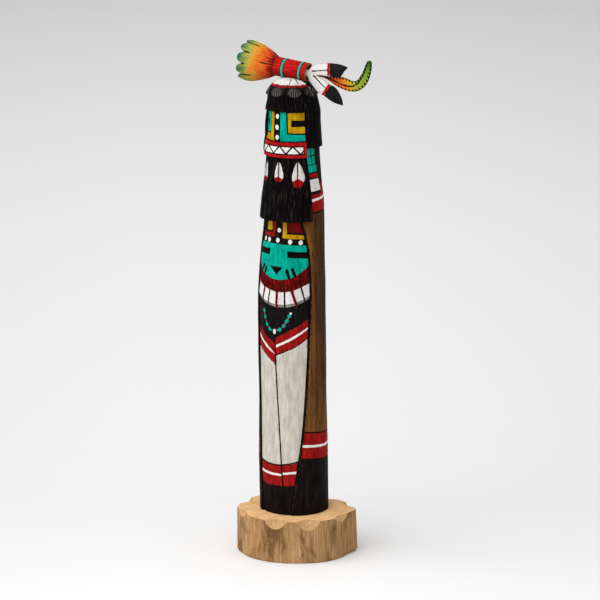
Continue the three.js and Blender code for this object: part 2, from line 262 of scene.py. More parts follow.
def polygon(x, y, path):
    inside = np.zeros(x.shape, bool)
    ring = list(path) + [path[0]]
    for (ax, ay), (bx, by) in zip(ring, ring[1:]):
        if ay != by:
            inside ^= ((ay > y) != (by > y)) & (x < ax + (y - ay) * (bx - ax) / (by - ay))
    d, _ = to_path(x, y, ring)
    return np.where(inside, d, -d)


def stroke(x, y, path, widths):
    d, along = to_path(x, y, path)
    return np.interp(along, np.linspace(0, 1, len(widths)), widths) / 2 - d


class Zone:
    """The points of one zone of the figure, laid out flat: x is arc length and y is height."""

    def __init__(self, surface, code):
        self.paint = surface.paint
        self.where = surface.zone == code
        self.scale = LAYOUT_RADII[code]
        self.x = np.radians(surface.bearing[self.where]) * self.scale
        self.y = surface.height[self.where]
        self.inside = surface.inside[self.where]

    def flat(self, points):
        return [(math.radians(b) * self.scale, h) for b, h in points]

    def put(self, layer, distance):
        field = self.paint[layer]
        field[self.where] = np.maximum(field[self.where], distance)

    def coat(self, *layers):
        for layer in layers:
            self.put(layer, COAT)

    def area(self, layer, points):
        self.put(layer, polygon(self.x, self.y, self.flat(points)))

    def line(self, layer, points, *widths):
        self.put(layer, stroke(self.x, self.y, self.flat(points), widths))

    def spot(self, layer, centre, rx, ry=None):
        ry = ry or rx
        (cx, cy), = self.flat([centre])
        self.put(layer, (1 - np.hypot((self.x - cx) / rx, (self.y - cy) / ry)) * min(rx, ry))

    def edge(self, keys):
        """Height over each point of a curve through (bearing, height) keys, or of a level one."""
        if not isinstance(keys, list):
            return keys
        kx, ky = np.asarray(self.flat(keys)).T
        return np.interp(self.x, kx, ky)

    def between(self, layer, low, high, limit=np.inf):
        within = np.minimum(self.y - self.edge(low), self.edge(high) - self.y)
        self.put(layer, np.minimum(within, limit))

    def trace(self, layer, keys, half_width, limit=np.inf):
        self.put(layer, np.minimum(half_width - np.abs(self.y - self.edge(keys)), limit))


# Materials

# How soft the edge of a layer of paint is
PAINT_EDGE = 0.12


def srgb(red, green, blue):
    def linear(v):
        v /= 255
        return v / 12.92 if v <= 0.04045 else ((v + 0.055) / 1.055) ** 2.4
    return (linear(red), linear(green), linear(blue), 1)


class Nodes:
    """A material and short ways to add nodes to it. An input is a constant or another node's socket,
    and a shade is red, green and blue from 0 to 255."""

    def __init__(self, name):
        self.material = bpy.data.materials.new(name)
        self.material.use_nodes = True
        self.tree = self.material.node_tree
        self.shader = self.tree.nodes["Principled BSDF"]
        self.place = self.add("ShaderNodeTexCoord").outputs["Object"]

    def add(self, kind, settings=None, **inputs):
        node = self.tree.nodes.new(kind)
        for key, value in (settings or {}).items():
            setattr(node, key, value)
        for key, value in inputs.items():
            self.feed(node.inputs[key.replace("_", " ")], value)
        return node

    def feed(self, socket, value):
        if isinstance(value, bpy.types.NodeSocket):
            self.tree.links.new(value, socket)
        else:
            socket.default_value = value

    def field(self, name):
        return self.add("ShaderNodeAttribute", {"attribute_name": name}).outputs["Fac"]

    def math(self, operation, *values):
        node = self.add("ShaderNodeMath", {"operation": operation})
        for socket, value in zip(node.inputs, values):
            self.feed(socket, value)
        return node.outputs[0]

    def plus(self, a, b):
        return self.math("ADD", a, b)

    def times(self, a, b):
        return self.math("MULTIPLY", a, b)

    def span(self, value, low, high, to_low=0.0, to_high=1.0):
        return self.add(
            "ShaderNodeMapRange", Value=value, From_Min=low, From_Max=high, To_Min=to_low, To_Max=to_high,
        ).outputs[0]

    def sway(self, most, *grain):
        """Noise between minus and plus a value."""
        return self.span(self.noise(*grain), 0.3, 0.7, -most, most)

    def above(self, value, limit):
        return self.math("GREATER_THAN", value, limit)

    def below(self, value, limit):
        return self.math("LESS_THAN", value, limit)

    def mix(self, share, a, b):
        node = self.add("ShaderNodeMix", {"data_type": "RGBA"})
        for index, value in ((0, share), (6, a), (7, b)):
            self.feed(node.inputs[index], srgb(*value) if isinstance(value, tuple) else value)
        return node.outputs[2]

    def shades(self, value, low, high, first, last):
        """From one shade to another, as a value goes from low to high."""
        return self.mix(self.span(value, low, high), first, last)

    def over(self, color, shade, value, low, high, most=1.0):
        """A shade over a color, from none where a value is low to the most where it is high."""
        return self.mix(self.span(value, low, high, 0.0, most), color, shade)

    def ramp(self, value, stops):
        node = self.add("ShaderNodeValToRGB")
        self.feed(node.inputs[0], value)
        elements = node.color_ramp.elements
        while len(elements) < len(stops):
            elements.new(0.5)
        for element, (where, shade) in zip(elements, stops):
            element.position = where
            element.color = srgb(*shade)
        return node.outputs[0]

    def noise(self, scale, detail=3.0, roughness=0.5, distortion=0.0):
        """Noise whose grain is 1 / scale metres along each axis."""
        stretch = self.add("ShaderNodeMapping", Vector=self.place)
        stretch.inputs["Scale"].default_value = scale if isinstance(scale, tuple) else (scale,) * 3
        return self.add(
            "ShaderNodeTexNoise", Vector=stretch.outputs[0], Scale=1.0, Detail=detail,
            Roughness=roughness, Distortion=distortion,
        ).outputs["Fac"]

    def brushed(self, color, layers, wobble=0.13):
        """Layers of paint over a color. Each has its field, two shades and, if unusual, its edge's softness.
        Fields hold millimetres inside the paint's edge, and noise moves that edge as a brush would."""
        stray = self.sway(wobble, 520.0, 2.0)
        strokes = self.span(self.noise((420.0, 420.0, 110.0), 4.0, 0.6), 0.32, 0.68)
        for field, dark, light, *other in layers:
            soft, = other or [PAINT_EDGE]
            share = self.span(self.plus(self.field(field), stray), -soft, soft)
            color = self.mix(share, color, self.mix(strokes, dark, light))
        return color

    def finish(self, color, roughness, height, distance, strength):
        bump = self.add("ShaderNodeBump", Strength=strength, Distance=distance, Height=height)
        self.feed(self.shader.inputs["Base Color"], color)
        self.feed(self.shader.inputs["Roughness"], roughness)
        self.feed(self.shader.inputs["Normal"], bump.outputs[0])
        self.shader.inputs["Specular IOR Level"].default_value = 0.03
        return self.material


# Profiles of the figure, as in the part: shares of its height and of the trunk's radius.
LEAN = [
    [0, 0], [0.06, 0.014], [0.12, 0.024], [0.25, 0.039], [0.37, 0.057], [0.46, 0.071], [0.51, 0.071],
    [0.57, 0.055], [0.615, 0.037], [0.65, 0.012], [0.684, 0], [0.8, 0], [0.92, 0.018], [0.95, 0.03],
    [0.967, 0.058], [1, 0.062],
]
LEAN_WAY = (-0.6, -0.943)
ROBE = [
    [0, 0.998], [0.12, 1], [0.25, 0.975], [0.37, 0.98], [0.46, 0.977], [0.51, 0.967], [0.57, 0.938],
    [0.615, 0.909], [0.65, 0.882], [0.684, 0.866], [0.726, 0.844], [0.758, 0.79], [0.797, 0.754],
    [0.819, 0.737], [0.85, 0.723],
]
BEARD = [[0.684, 0.989], [0.726, 0.942], [0.758, 0.888], [0.797, 0.833], [0.8266, 0.8]]
MOUTH = [[0.8266, 0.863], [0.845, 0.835], [0.861, 0.812]]
MASK = [[0.861, 0.79], [0.8756, 0.782], [0.9076, 0.739], [0.925, 0.723]]
HAIR = [
    [0.848, 0.81], [0.8756, 0.786], [0.9076, 0.776], [0.925, 0.767], [0.95, 0.713], [0.9645, 0.69],
    [0.976, 0.64],
]
RIGHT_EDGE = [
    [0, 25], [0.028, 28], [0.076, 34.6], [0.13, 41.4], [0.211, 50], [0.31, 56.7], [0.42, 62],
    [0.5, 65.3], [0.55, 65], [0.61, 61], [0.655, 51.5], [0.684, 45],
]
LEFT_EDGE = [
    [0, -36.5], [0.11, -42.5], [0.26, -47], [0.42, -50], [0.57, -51], [0.64, -49], [0.684, -44],
]
CHEEK_EDGE = [
    [0.684, 64.3], [0.744, 64.2], [0.79, 61.6], [0.8266, 57.3], [0.861, 57.2], [0.8756, 58.8],
    [0.925, 62],
]
BEARD_FOOT = 0.684
SHOULDER_FOOT = 0.692
MOUTH_FOOT = 0.8266
HAIR_FOOT = 0.848
MOUTH_TOP = 0.861
BANGS_TOP = 0.95
PETAL_FOOT = 0.9645
PETAL_NOTCH = 0.977
RED_RING = (0.983, 0.594)
DOME = [(0.9897, 0.5312), (0.9955, 0.4), (0.999, 0.22), (1.0, 0.0)]
# The bangs' foot is 1 mm above the part's.
BANGS_FOOT = 0.9285

# Zones of the figure, and the radius at which each is laid out flat.
ROBE_ZONE, PANEL_ZONE, BEARD_ZONE, MOUTH_ZONE, MASK_ZONE, HAIR_ZONE, CROWN_ZONE = range(7)
LAYOUT_RADII = (20.6, 20.6, 19.5, 18.7, 17.1, 17, 17)

# Columns of the figure's mesh: all, those at the cheek edges and those at the panel's edges.
COLUMNS = 236
CHEEKS = (42, 194)
PANEL = (59, 177)
EDGE_COLUMNS = 2


def column_bearings(keys):
    """Bearings of all columns, from (column, bearing) keys between which they are even."""
    keys = sorted(keys)
    (first, start), (last, end) = keys[0], keys[-1]
    keys = [(last - COLUMNS, end - 360)] + keys + [(first + COLUMNS, start + 360)]
    kx, ky = np.array(keys, float).T
    return np.interp(np.arange(COLUMNS), kx, ky)


def edge_keys(columns, left, right):
    half = math.degrees(EDGE_WIDTH / 2 / TRUNK_RADIUS)
    keys = []
    for column, bearing in zip(columns, (left, right)):
        keys += [(column - EDGE_COLUMNS, bearing - half), (column + EDGE_COLUMNS, bearing + half)]
    return keys


def furrows(bearing, height):
    """Carved locks, from 0 on a lock's crest to 1 in the furrow beside it."""
    angle = np.radians(bearing)
    z = height * FIGURE_HEIGHT
    drift = 0.5 * np.sin(3 * angle + z / 23) + 0.35 * np.sin(7 * angle - z / 11)
    broad = np.abs(np.sin(16 * angle + drift))
    fine = np.abs(np.sin(52 * angle + 1.5 * np.sin(5 * angle + z / 29) + 0.3 * np.sin(z / 7)))
    return 1 - 0.52 * broad**0.7 - 0.48 * fine**0.8


def threads(bearing):
    """The straight threads of the fringe, from 0 on a thread to 1 between two."""
    angle = np.radians(bearing)
    return 1 - np.abs(np.sin(50 * angle + 0.9 * np.sin(9 * angle))) ** 0.7


def spread(keys):
    """Splits the stretches between keys into even steps, of the spacing that ends each key."""
    rows = [keys[0]]
    for a, b in zip(keys, keys[1:]):
        count = max(1, round(abs(b[0] - a[0]) * FIGURE_HEIGHT / a[-1]))
        rows += [tuple(lerp(p, q, n / count) for p, q in zip(a, b)) for n in range(1, count + 1)]
    return rows


class Rows(Rings):
    """Rows of the figure's mesh from the seat up. Each has its bearings, its heights as shares of the
    figure's, its radii, its zones, how far inside the zone's edge it is, and its furrows."""

    def trunk(self, level, dip, depth, swell, locks):
        left, right = smooth(LEFT_EDGE, level), smooth(RIGHT_EDGE, level)
        cheek = float(smooth(CHEEK_EDGE, level))
        keys = edge_keys(PANEL, left, right)
        keys += [(CHEEKS[0], min(-cheek, left - 5)), (CHEEKS[1], max(cheek, right + 5))]
        bearing = column_bearings(keys)
        across = (2 * (bearing - left)) / (right - left) - 1
        bow = np.clip(1 - across**2, 0, 1)
        height = level - dip * bow
        inside = np.minimum(bearing - left, right - bearing) * math.radians(1) * TRUNK_RADIUS
        step = ease(inside, -EDGE_WIDTH / 2, EDGE_WIDTH / 2)
        lock = threads(bearing) * locks
        carved = depth - swell * bow + STRAND_DEPTH * lock
        radius = smooth(ROBE, height) * TRUNK_RADIUS - step * carved
        self.add(bearing, height, radius, np.where(inside > 0, PANEL_ZONE, ROBE_ZONE), inside, lock)

    def head(self, levels, profiles, zones, hangs):
        """All come in pairs, for the front and the back. hangs are how far the crests of the locks
        reach below the row."""
        front, back = levels
        cheek = float(smooth(CHEEK_EDGE, front))
        bearing = column_bearings(edge_keys(CHEEKS, -cheek, cheek))
        inside = (cheek - np.abs(bearing)) * math.radians(1) * TRUNK_RADIUS
        step = ease(inside, -EDGE_WIDTH / 2, EDGE_WIDTH / 2)
        crest = (1 - furrows(bearing, 0.9)) / FIGURE_HEIGHT
        height = lerp(back - hangs[1] * crest, front - hangs[0] * crest, step)
        near, far = [smooth(profile, level) * TRUNK_RADIUS for profile, level in zip(profiles, levels)]
        zone = np.where(inside > 0, *zones)
        lock = furrows(bearing, height) * ((zone == BEARD_ZONE) | (zone == HAIR_ZONE))
        self.add(bearing, height, lerp(far, near, step) - STRAND_DEPTH * lock, zone, inside, lock)

    def crown(self):
        """From the bangs' top over the petals to the middle of the dome."""
        edge = float(smooth(CHEEK_EDGE, BANGS_FOOT))
        bearing = column_bearings([(CHEEKS[0], -edge), (CHEEKS[1], edge)])
        lobe = np.abs(np.sin(np.radians(bearing - FIRST_NOTCH) * PETALS / 2)) ** 0.7
        foot = lerp(PETAL_NOTCH, PETAL_FOOT - PETAL_HANG, lobe)
        hair = smooth(HAIR, foot) * TRUNK_RADIUS
        reach = 0.2 + PETAL_REACH * lobe
        for t in (0.25, 0.5, 0.75):
            height = lerp(BANGS_TOP, foot, t)
            lock = furrows(bearing, BANGS_TOP) * (1 - t)
            radius = smooth(HAIR, height) * TRUNK_RADIUS - STRAND_DEPTH * lock
            self.add(bearing, height, radius, HAIR_ZONE, 0, lock)
        for overhang, lift in ((0, 0), (0.5, 0), (1, 0.05), (1.02, 0.4), (0.95, PETAL_THICKNESS)):
            height, radius = foot + lift / FIGURE_HEIGHT, hair + overhang * reach
            self.add(bearing, height, radius, CROWN_ZONE, 0, 0)
        for count, (top, share) in zip((9, 5, 5, 5, 5), (RED_RING, *DOME)):
            for n in range(1, count + 1):
                row = lerp(height, top, n / count), lerp(radius, share * TRUNK_RADIUS, n / count)
                self.add(bearing, *row, CROWN_ZONE, 0, 0)
            height, radius = top, share * TRUNK_RADIUS


def figure_rows():
    chest, under, proud = PANEL_DEPTH, PANEL_DEPTH - 0.2 * RELIEF, PANEL_DEPTH - 1.2 * RELIEF
    face = FACE_ROUND
    # Each key is a level, the panel's dip there, its depth, swell and locks, and the spacing of rows.
    keys = [
        (0, 0, chest, 0, 0, 1.8), (0.05, 0, chest, 0, 0, 0.66),
        (0.205, 0, chest, 0, 0, 2.2), (0.355, 0, chest, 0, 0, 0.7),
        (0.41, 0, chest, 0, 0, 0.7), (0.44, 0.007, chest, 0, 0, 0.7),
        (0.48, 0.016, chest, 0, 0, 0.7), (0.5131, 0.0206, chest, 0, 0, 1),
        (0.5131, 0.0206, proud, 0, 0, 0.6), (0.5416, 0.0203, under, 0, 0, 1),
        (0.5416, 0.0203, proud, 0, 1, 0.6), (0.563, 0.0274, under, 0, 1, 0.6),
        (0.5842, 0.0345, under, 0, 0, 1), (0.5842, 0.0345, proud, face / 2, 0, 0.6),
        (0.602, 0.025, proud, face, 0, 0.6), (0.622, 0.0142, proud, face, 0, 0.6),
        (0.642, 0.007, under, face / 2, 0, 0.6), (0.662, 0.0035, chest, 0, 0, 0.6),
        (BEARD_FOOT, 0, chest, 0, 0, 1),
    ]
    rows = Rows(COLUMNS)
    for *row, _ in spread(keys):
        rows.trunk(*row)
    levels = [
        (BEARD_FOOT, SHOULDER_FOOT), (MOUTH_FOOT, HAIR_FOOT), (MOUTH_TOP, MOUTH_TOP),
        (BANGS_FOOT, BANGS_FOOT), (BANGS_TOP, BANGS_TOP),
    ]
    stretches = [
        ((BEARD, ROBE), (BEARD_ZONE, ROBE_ZONE), 0.7, (0.7, 0)),
        ((MOUTH, HAIR), (MOUTH_ZONE, HAIR_ZONE), 0.44, (0, 0.9)),
        ((MASK, HAIR), (MASK_ZONE, HAIR_ZONE), 0.48, (0, 0)),
        ((HAIR, HAIR), (HAIR_ZONE, HAIR_ZONE), 0.7, (0.5, 0)),
    ]
    fade_height = 3
    for foot, top, (profiles, zones, spacing, hangs) in zip(levels, levels[1:], stretches):
        for front, back, _ in spread([(*foot, spacing), (*top, spacing)]):
            fade = max(0, 1 - (front - foot[0]) * FIGURE_HEIGHT / fade_height)
            rows.head((front, back), profiles, zones, [hang * fade for hang in hangs])
    rows.crown()
    return rows.arrays()


# The bundle's own frame: X runs along the stem towards the feathers, and Z is up from the stem.
NECK = -WRAP_CENTRE - WRAP_LENGTH / 2
STEM_END = NECK + WRAP_LENGTH
BUNDLE_PLACE = np.array([0, 0, BASE_HEIGHT + FIGURE_HEIGHT - SADDLE_DEPTH + WRAP_RADIUS])
BUNDLE_TURN = np.array(
    Euler((0, math.radians(BUNDLE_TILT), math.radians(BUNDLE_YAW)), "XYZ").to_matrix()
)


def from_bundle(points):
    return points @ BUNDLE_TURN.T + BUNDLE_PLACE


def to_bundle(points):
    return (points - BUNDLE_PLACE) @ BUNDLE_TURN


# Paint on the figure. Points are (bearing, height). Blacks, whites and reds come in more than one layer,
# since the material lays them over each other.
LAYERS = (
    "black", "cream", "grey", "white", "dark", "red", "bright", "blue", "yellow", "chalk", "ink", "hair",
    "fringe", "petal",
)
ROBE_HEM = 34
SEAM_LAP = 0.3
BAND_START = 4.5


def paint_panel(surface):
    panel = Zone(surface, PANEL_ZONE)
    panel.coat("black")
    # Forehead
    top = 193.5
    panel.area("yellow", [(7.9, top), (15.8, top), (17.2, 183.8), (51.6, 183), (52, 180.4), (8.8, 181.2)])
    panel.area("dark", [(19.1, top), (45, top), (50.6, 184.4), (19.8, 185)])
    panel.area("yellow", [(-29.7, top), (-17.6, top), (-17, 185.4), (-32.3, 185.3)])
    panel.area("red", [
        (-13.7, top), (-7.9, top), (-8.5, 181.5), (-44, 181.5), (-44, 183.5), (-15.2, 184.3),
    ])
    for centre in [(0.3, 186), (-0.6, 179.6), (24.5, 179.1), (45.1, 178.5), (-21.9, 179.3), (-36, 179.4)]:
        panel.spot("chalk", centre, 1.45)
    # Face
    chin = [
        (-51, 164.4), (-44, 161.3), (-36.4, 159), (-24.9, 156.9), (-8.3, 155.3), (6, 154.7), (10.5, 154.8),
        (26.9, 155.8), (41.1, 158.2), (53.2, 161.2), (65, 164.4),
    ]
    brow = [(-51, 177), (-36, 177.5), (6, 177.3), (56, 176.5), (66, 176)]
    panel.between("blue", panel.edge(chin) - 0.2, brow)
    panel.area("ink", [(20.4, 173.2), (70, 172), (70, 167.9), (21.4, 169.2)])
    panel.area("ink", [(-60, 173.6), (-14.9, 174.2), (-15, 170.2), (-60, 169.7)])
    panel.area("ink", [(-13, 163.2), (14.3, 163), (2.1, 158)])
    for path in (
        [(21.5, 160.8), (25.5, 156.3)], [(30.9, 161.8), (35.7, 157.8)],
        [(-29.2, 163), (-32.6, 160.2)], [(-22.8, 161.3), (-25.4, 157.9)],
    ):
        panel.line("ink", path, 2.2, 1.9)
    # Fringe and feather collar
    fringe = [
        (-51, 152.4), (-43, 151.2), (-28, 149.2), (-12, 147.8), (3.5, 146.8), (18.6, 147), (33, 148),
        (45, 149.6), (56, 151.3), (65, 152.4),
    ]
    collar = [
        (-51, 144.4), (-41, 142.9), (-26, 141), (-13, 139.8), (1, 138.9), (19, 138.8), (35, 140), (51, 142),
        (65, 144.4),
    ]
    panel.between("dark", fringe, panel.edge(chin) - 0.35)
    panel.between("fringe", fringe, chin)
    panel.between("white", collar, fringe)
    panel.between("grey", panel.edge(collar) - 1.9, collar)
    for path in ([(-26, 149.4), (-29.5, 140)], [(3.5, 147.2), (3.6, 137)], [(31, 147.7), (39.9, 138)]):
        panel.line("dark", path, 1.9, 1.6)
    for path in ([(-12.2, 148), (-14.5, 138.6)], [(17.8, 147), (18.9, 136.8)], [(47.9, 149.9), (54.5, 141)]):
        panel.line("ink", path, 1.1)
    # Necklace
    right_beads = [(-27.2, 133.3), (-23.5, 129.2), (-19, 125), (-11.7, 121.9)]
    left_beads = [(8.4, 122.4), (16.3, 125.2), (22, 128.3), (27.1, 131.6)]
    drop, clasp = (-1.7, 121.2), (29.4, 133.2)
    panel.line("grey", right_beads + [drop] + left_beads + [clasp], 0.55)
    for x, y in panel.flat(right_beads + left_beads):
        panel.put("blue", 0.85 - 0.6 * (np.abs(panel.x - x) + np.abs(panel.y - y)))
    panel.spot("chalk", (-1.7, 120.8), 1.0, 1.75)
    panel.spot("chalk", clasp, 0.8, 0.7)
    # Bands of the robe's neck, on each side of the seam
    seam = [
        (-0.6, 117.3), (0.7, 95), (2.8, 76), (6.3, 55.7), (9, 36.7), (11, 23.5), (12.8, 16.8), (16.5, 2.2),
        (17.2, -1),
    ]
    seam_x, seam_y = np.array(panel.flat(seam[::-1])).T
    left_side = panel.x - np.interp(panel.y, seam_y, seam_x)
    for side, top, foot in (
        (
            -left_side, [(-60, 125.5), (-48.5, 123.3), (-31, 120.2), (-16.6, 116.7), (0, 113.2)],
            [(-60, 111.6), (-46.4, 109.2), (-26.6, 105.5), (-12, 102.4), (0.5, 99.4)],
        ),
        (
            left_side, [(-0.5, 117), (30, 123), (64, 129.8), (75, 132)],
            [(0.5, 105.4), (35, 110.9), (62, 117.1), (75, 120)],
        ),
    ):
        panel.between("red", foot, top, side + SEAM_LAP)
        panel.between("cream", ROBE_HEM, foot, side + SEAM_LAP)
        for keys in (foot, top):
            panel.trace("ink", keys, 0.42, side + SEAM_LAP)
    panel.line("chalk", [(-56, 118.4), (-26.1, 112.2), (-11.7, 108.7), (-1.6, 106.4)], 1.5, 1.6, 1.3, 0.7)
    panel.line("chalk", [(1.4, 111.2), (30, 116.6), (61, 123.2)], 1.4, 1.5, 1.1)
    # Bands above the foot
    hem = [(-50, 35), (-41.5, 34.3), (-19.8, 33.3), (-6.8, 33), (7.1, 33.1), (23.3, 34.2), (50, 36.6)]
    foot = [(-50, 20.2), (-40, 19.9), (-20.6, 19.3), (8.5, 19.4), (22.8, 19.6), (50, 20.5)]
    panel.between("cream", hem, 60)
    panel.between("red", foot, panel.edge(hem) - 0.5)
    panel.trace("ink", hem, 0.5)
    panel.line("chalk", [(-50, 27.6), (-15.8, 26.7), (8, 26.6)], 1.6, 1.6, 1.2)
    panel.line("chalk", [(12, 27.6), (36.6, 28.6)], 1.4, 1.5)
    panel.line("ink", seam, 1.0)
    panel.put("ink", 0.8 - panel.inside)


def paint_robe(surface):
    robe = Zone(surface, ROBE_ZONE)
    # Bands above the foot run round the back. On the figure's right, they stop short of the panel.
    around = np.arange(-180, 181, 20)
    sway = 0.5 * np.sin(np.radians(3 * around))
    fall = np.interp(np.abs(around), [50, 115, 180], [0, -2.4, -2])
    clear = np.where(robe.x < 0, -robe.inside - BAND_START, -OUTSIDE)

    def level(height, drop):
        return list(zip(around.tolist(), (height + drop * fall + sway).tolist()))

    top, stripe, foot = level(55.1, 1.0), level(45.9, 0.6), level(37.4, 0.8)
    robe.between("red", foot, top, clear)
    robe.put("black", robe.edge(foot) - robe.y)
    for keys in (top, foot):
        robe.trace("ink", keys, 0.5, clear)
    robe.trace("chalk", stripe, 0.8, clear)
    # The shoulders: black with blocks of colour, above a banded hem.
    areas = (
        ("black", [(40, 245), (180, 245), (180, 208.6), (110, 208.6), (99.5, 208.6), (40, 208.4)]),
        ("blue", [(60, 245), (81, 245), (82.4, 233.5), (61, 233.2)]),
        ("blue", [(60, 232.4), (82.5, 232.7), (85, 227.9), (62, 227.5)]),
        ("blue", [(60, 226.7), (87.6, 227), (88, 222.6), (62, 222.5)]),
        ("red", [(60, 221.8), (90.6, 221.6), (92.8, 218.8), (60, 219.2)]),
        ("white", [(60, 218), (92.4, 218), (98.2, 210.5), (60, 210.3)]),
        ("red", [
            (40, 208.2), (98, 208.4), (100, 214.5), (180, 214.5), (180, 197.2), (104.8, 197.2), (40, 196.9),
        ]),
    )
    lines = (
        ("ink", [(69, 242), (72.6, 232.1), (78.1, 222.5)], 0.95),
        ("chalk", [(40, 203.6), (67.8, 204.7), (112, 206), (180, 207)], 1.9, 1.7, 1.4, 1.4),
        ("ink", [(40, 196.6), (105, 197), (180, 197)], 1.2),
    )
    for side in (-1, 1):
        for layer, points in areas:
            robe.area(layer, [(side * b, h) for b, h in points])
        for layer, points, *widths in lines:
            robe.line(layer, [(side * b, h) for b, h in points], *widths)
    robe.put("ink", np.where(robe.y < 193, 0.7 + robe.inside, OUTSIDE))


def feather_mark(zone, top, left, right, tip, red_from):
    """A white feather with a dark midrib and a red tip, painted hanging down."""
    def side(corner):
        return [
            (lerp(top[0], corner[0], 0.62), lerp(top[1], corner[1], 0.4)),
            (lerp(top[0], corner[0], 0.96), lerp(top[1], corner[1], 0.8)), corner,
            (lerp(corner[0], tip[0], 0.35), lerp(corner[1], tip[1], 0.75)),
        ]
    leaf = polygon(zone.x, zone.y, zone.flat([top] + side(left) + [tip] + side(right)[::-1]))
    above = zone.y - red_from + 0.5 * np.abs(zone.x - zone.flat([top])[0][0])
    zone.put("white", np.minimum(leaf, above))
    zone.put("bright", np.minimum(leaf, 0.25 - above))
    zone.line("ink", [(top[0], top[1] + 1.5), (lerp(top[0], tip[0], 0.6), tip[1])], 1.2, 0.9, 0.7)


def paint_head(surface):
    beard = Zone(surface, BEARD_ZONE)
    beard.coat("black", "hair")
    feather_mark(beard, (-1.6, 230.6), (-11, 220), (9.8, 220.4), (-1, 216.8), 220.3)
    feather_mark(beard, (38.1, 231), (26.6, 219.4), (51.6, 219.4), (36.5, 213.4), 219.2)
    feather_mark(beard, (-40.5, 230.2), (-50.5, 219.4), (-32.3, 219.6), (-41, 216), 219.6)

    mouth = Zone(surface, MOUTH_ZONE)
    mouth.coat("black", "bright")
    white = [(-57, 239.6), (50.6, 239.7), (50.6, 234.8), (-57, 234.8)]
    mouth.area("chalk", white)
    mouth.line("ink", white + white[:1], 0.8)
    teeth = [
        (-57, 239.8), (-43, 235.2), (-29.7, 239.8), (-12.1, 235.2), (1.3, 239.8), (15.3, 235.1),
        (28.7, 239.9), (44, 234.9), (57, 239.5),
    ]
    zigzag = stroke(mouth.x, mouth.y, mouth.flat(teeth), (0.95,))
    mouth.put("ink", np.minimum(zigzag, polygon(mouth.x, mouth.y, mouth.flat(white)) + 0.2))

    mask = Zone(surface, MASK_ZONE)
    mask.coat("black")
    top = 261.5
    mask.area("blue", [(-70, top), (-30.8, top), (-25.7, 248.2), (-70, 247.6)])
    mask.area("ink", [(-70, 256.2), (-36, 256.4), (-35, 252), (-70, 251.8)])
    mask.area("yellow", [
        (-27.6, top), (-17.6, top), (-14.4, 242.9), (-70, 243.3), (-70, 246.9), (-24.4, 247.3),
    ])
    for centre in [(-7.8, 258.3), (-7.4, 251.4), (-6, 245.1)]:
        mask.spot("chalk", centre, 1.35, 1.6)
    mask.area("blue", [(-0.2, top), (13.8, top), (16.9, 247.4), (55.3, 246.9), (55.3, 243.1), (1.7, 242.9)])
    mask.area("yellow", [(17.1, top), (56, top), (55.2, 247.9), (18.9, 248.1)])
    mask.area("ink", [(25.6, 256.2), (70, 255.9), (70, 252.1), (25.5, 252)])
    mask.line("ink", [(15.3, top), (18, 247.8), (58, 247.4)], 0.8)
    mask.put("ink", 0.9 - mask.inside)

    Zone(surface, HAIR_ZONE).coat("black", "hair")


def paint_crown(surface):
    crown = Zone(surface, CROWN_ZONE)
    crown.coat("black")
    ring = surface.radius[crown.where]
    turn = np.radians(surface.bearing[crown.where])
    petal_root = RED_RING[1] * TRUNK_RADIUS
    red = petal_root - 0.4
    wander = 0.3 * noise(turn * 7 + 30, ring * 0, 8)
    # Under the feathers' root, the black reaches over the ring.
    root_turn, root_width = 1.85, 0.5
    covered = np.clip(1 - np.abs(turn - root_turn) / root_width, -1, 1) * 3
    crown.put("red", np.minimum(0.46 - np.abs(ring - red + wander), -covered))
    crown.put("white", np.minimum(red - 0.35 - ring + wander, np.maximum(-covered, 9 - ring)))
    # Thin lines on the dome, but none at the front
    ray = np.abs(np.sin(7 * (turn - 0.42))) * ring / 7
    plain = (turn < 0.25) & (turn > -1.6)
    lines = np.minimum(0.3 - ray, np.minimum(red - 0.8 - ring, ring - 5.5))
    crown.put("ink", np.where(plain, OUTSIDE, lines))
    # Brush marks that fan out over each petal
    petal = (turn - math.radians(FIRST_NOTCH)) * PETALS / (2 * math.pi)
    across = petal - np.floor(petal) - 0.5
    down = np.clip((ring - petal_root) / 3.2, 0, 1)
    mark = 1 - 1.8 * np.abs(np.sin(9 * math.pi * across / lerp(0.55, 1, down)))
    reach = np.minimum((ring - petal_root) * 0.9, (lerp(0.28, 0.46, down) - np.abs(across)) * 7)
    crown.put("petal", np.minimum(mark, reach))


def carve(surface):
    """The figure's radius with the cut lines and the uneven surface that a knife leaves."""
    bearing, zone, share = surface.bearing, surface.zone, surface.share
    groove = GROOVE_DEPTH * ease(surface.paint["ink"], -0.1, 0.35) * (zone != CROWN_ZONE)
    angle, height = np.radians(bearing), surface.height
    facets = 0.12 * noise(3 * np.sin(angle) + 3, height / 21, 1)
    facets += 0.08 * noise(6 * np.cos(angle) + 9, height / 9, 2)
    radius = surface.radius - groove - FIGURE_INSET + np.where(zone <= PANEL_ZONE, facets, 0.4 * facets)
    # At the figure's right, the mask is sunk deeper and the bangs stand out over it.
    corner = CORNER_RELIEF * np.exp(-(((bearing - CORNER_BEARING) / CORNER_WIDTH) ** 2))
    radius -= corner * (zone == MASK_ZONE) * ease(share, MOUTH_TOP, MOUTH_TOP + 0.012)
    fall = (1 - ease(share, 0.93, 0.977)) * ease(BANGS_EDGE - np.abs(bearing), -1, 1)
    return radius + corner * (zone == HAIR_ZONE) * fall


def bed_stem(points):
    """Lowers the points that the bundle's stem would touch, to a clearance from it."""
    local = to_bundle(points)
    bed = WRAP_RADIUS + CLEARANCE
    floor = -np.sqrt(np.clip(bed**2 - local[..., 1] ** 2, 0, None))
    in_bed = (np.abs(local[..., 1]) < bed) & (local[..., 2] > floor) & (local[..., 0] < STEM_END + 0.2)
    local[..., 2] = np.where(in_bed, floor, local[..., 2])
    return np.where(in_bed[..., None], from_bundle(local), points)


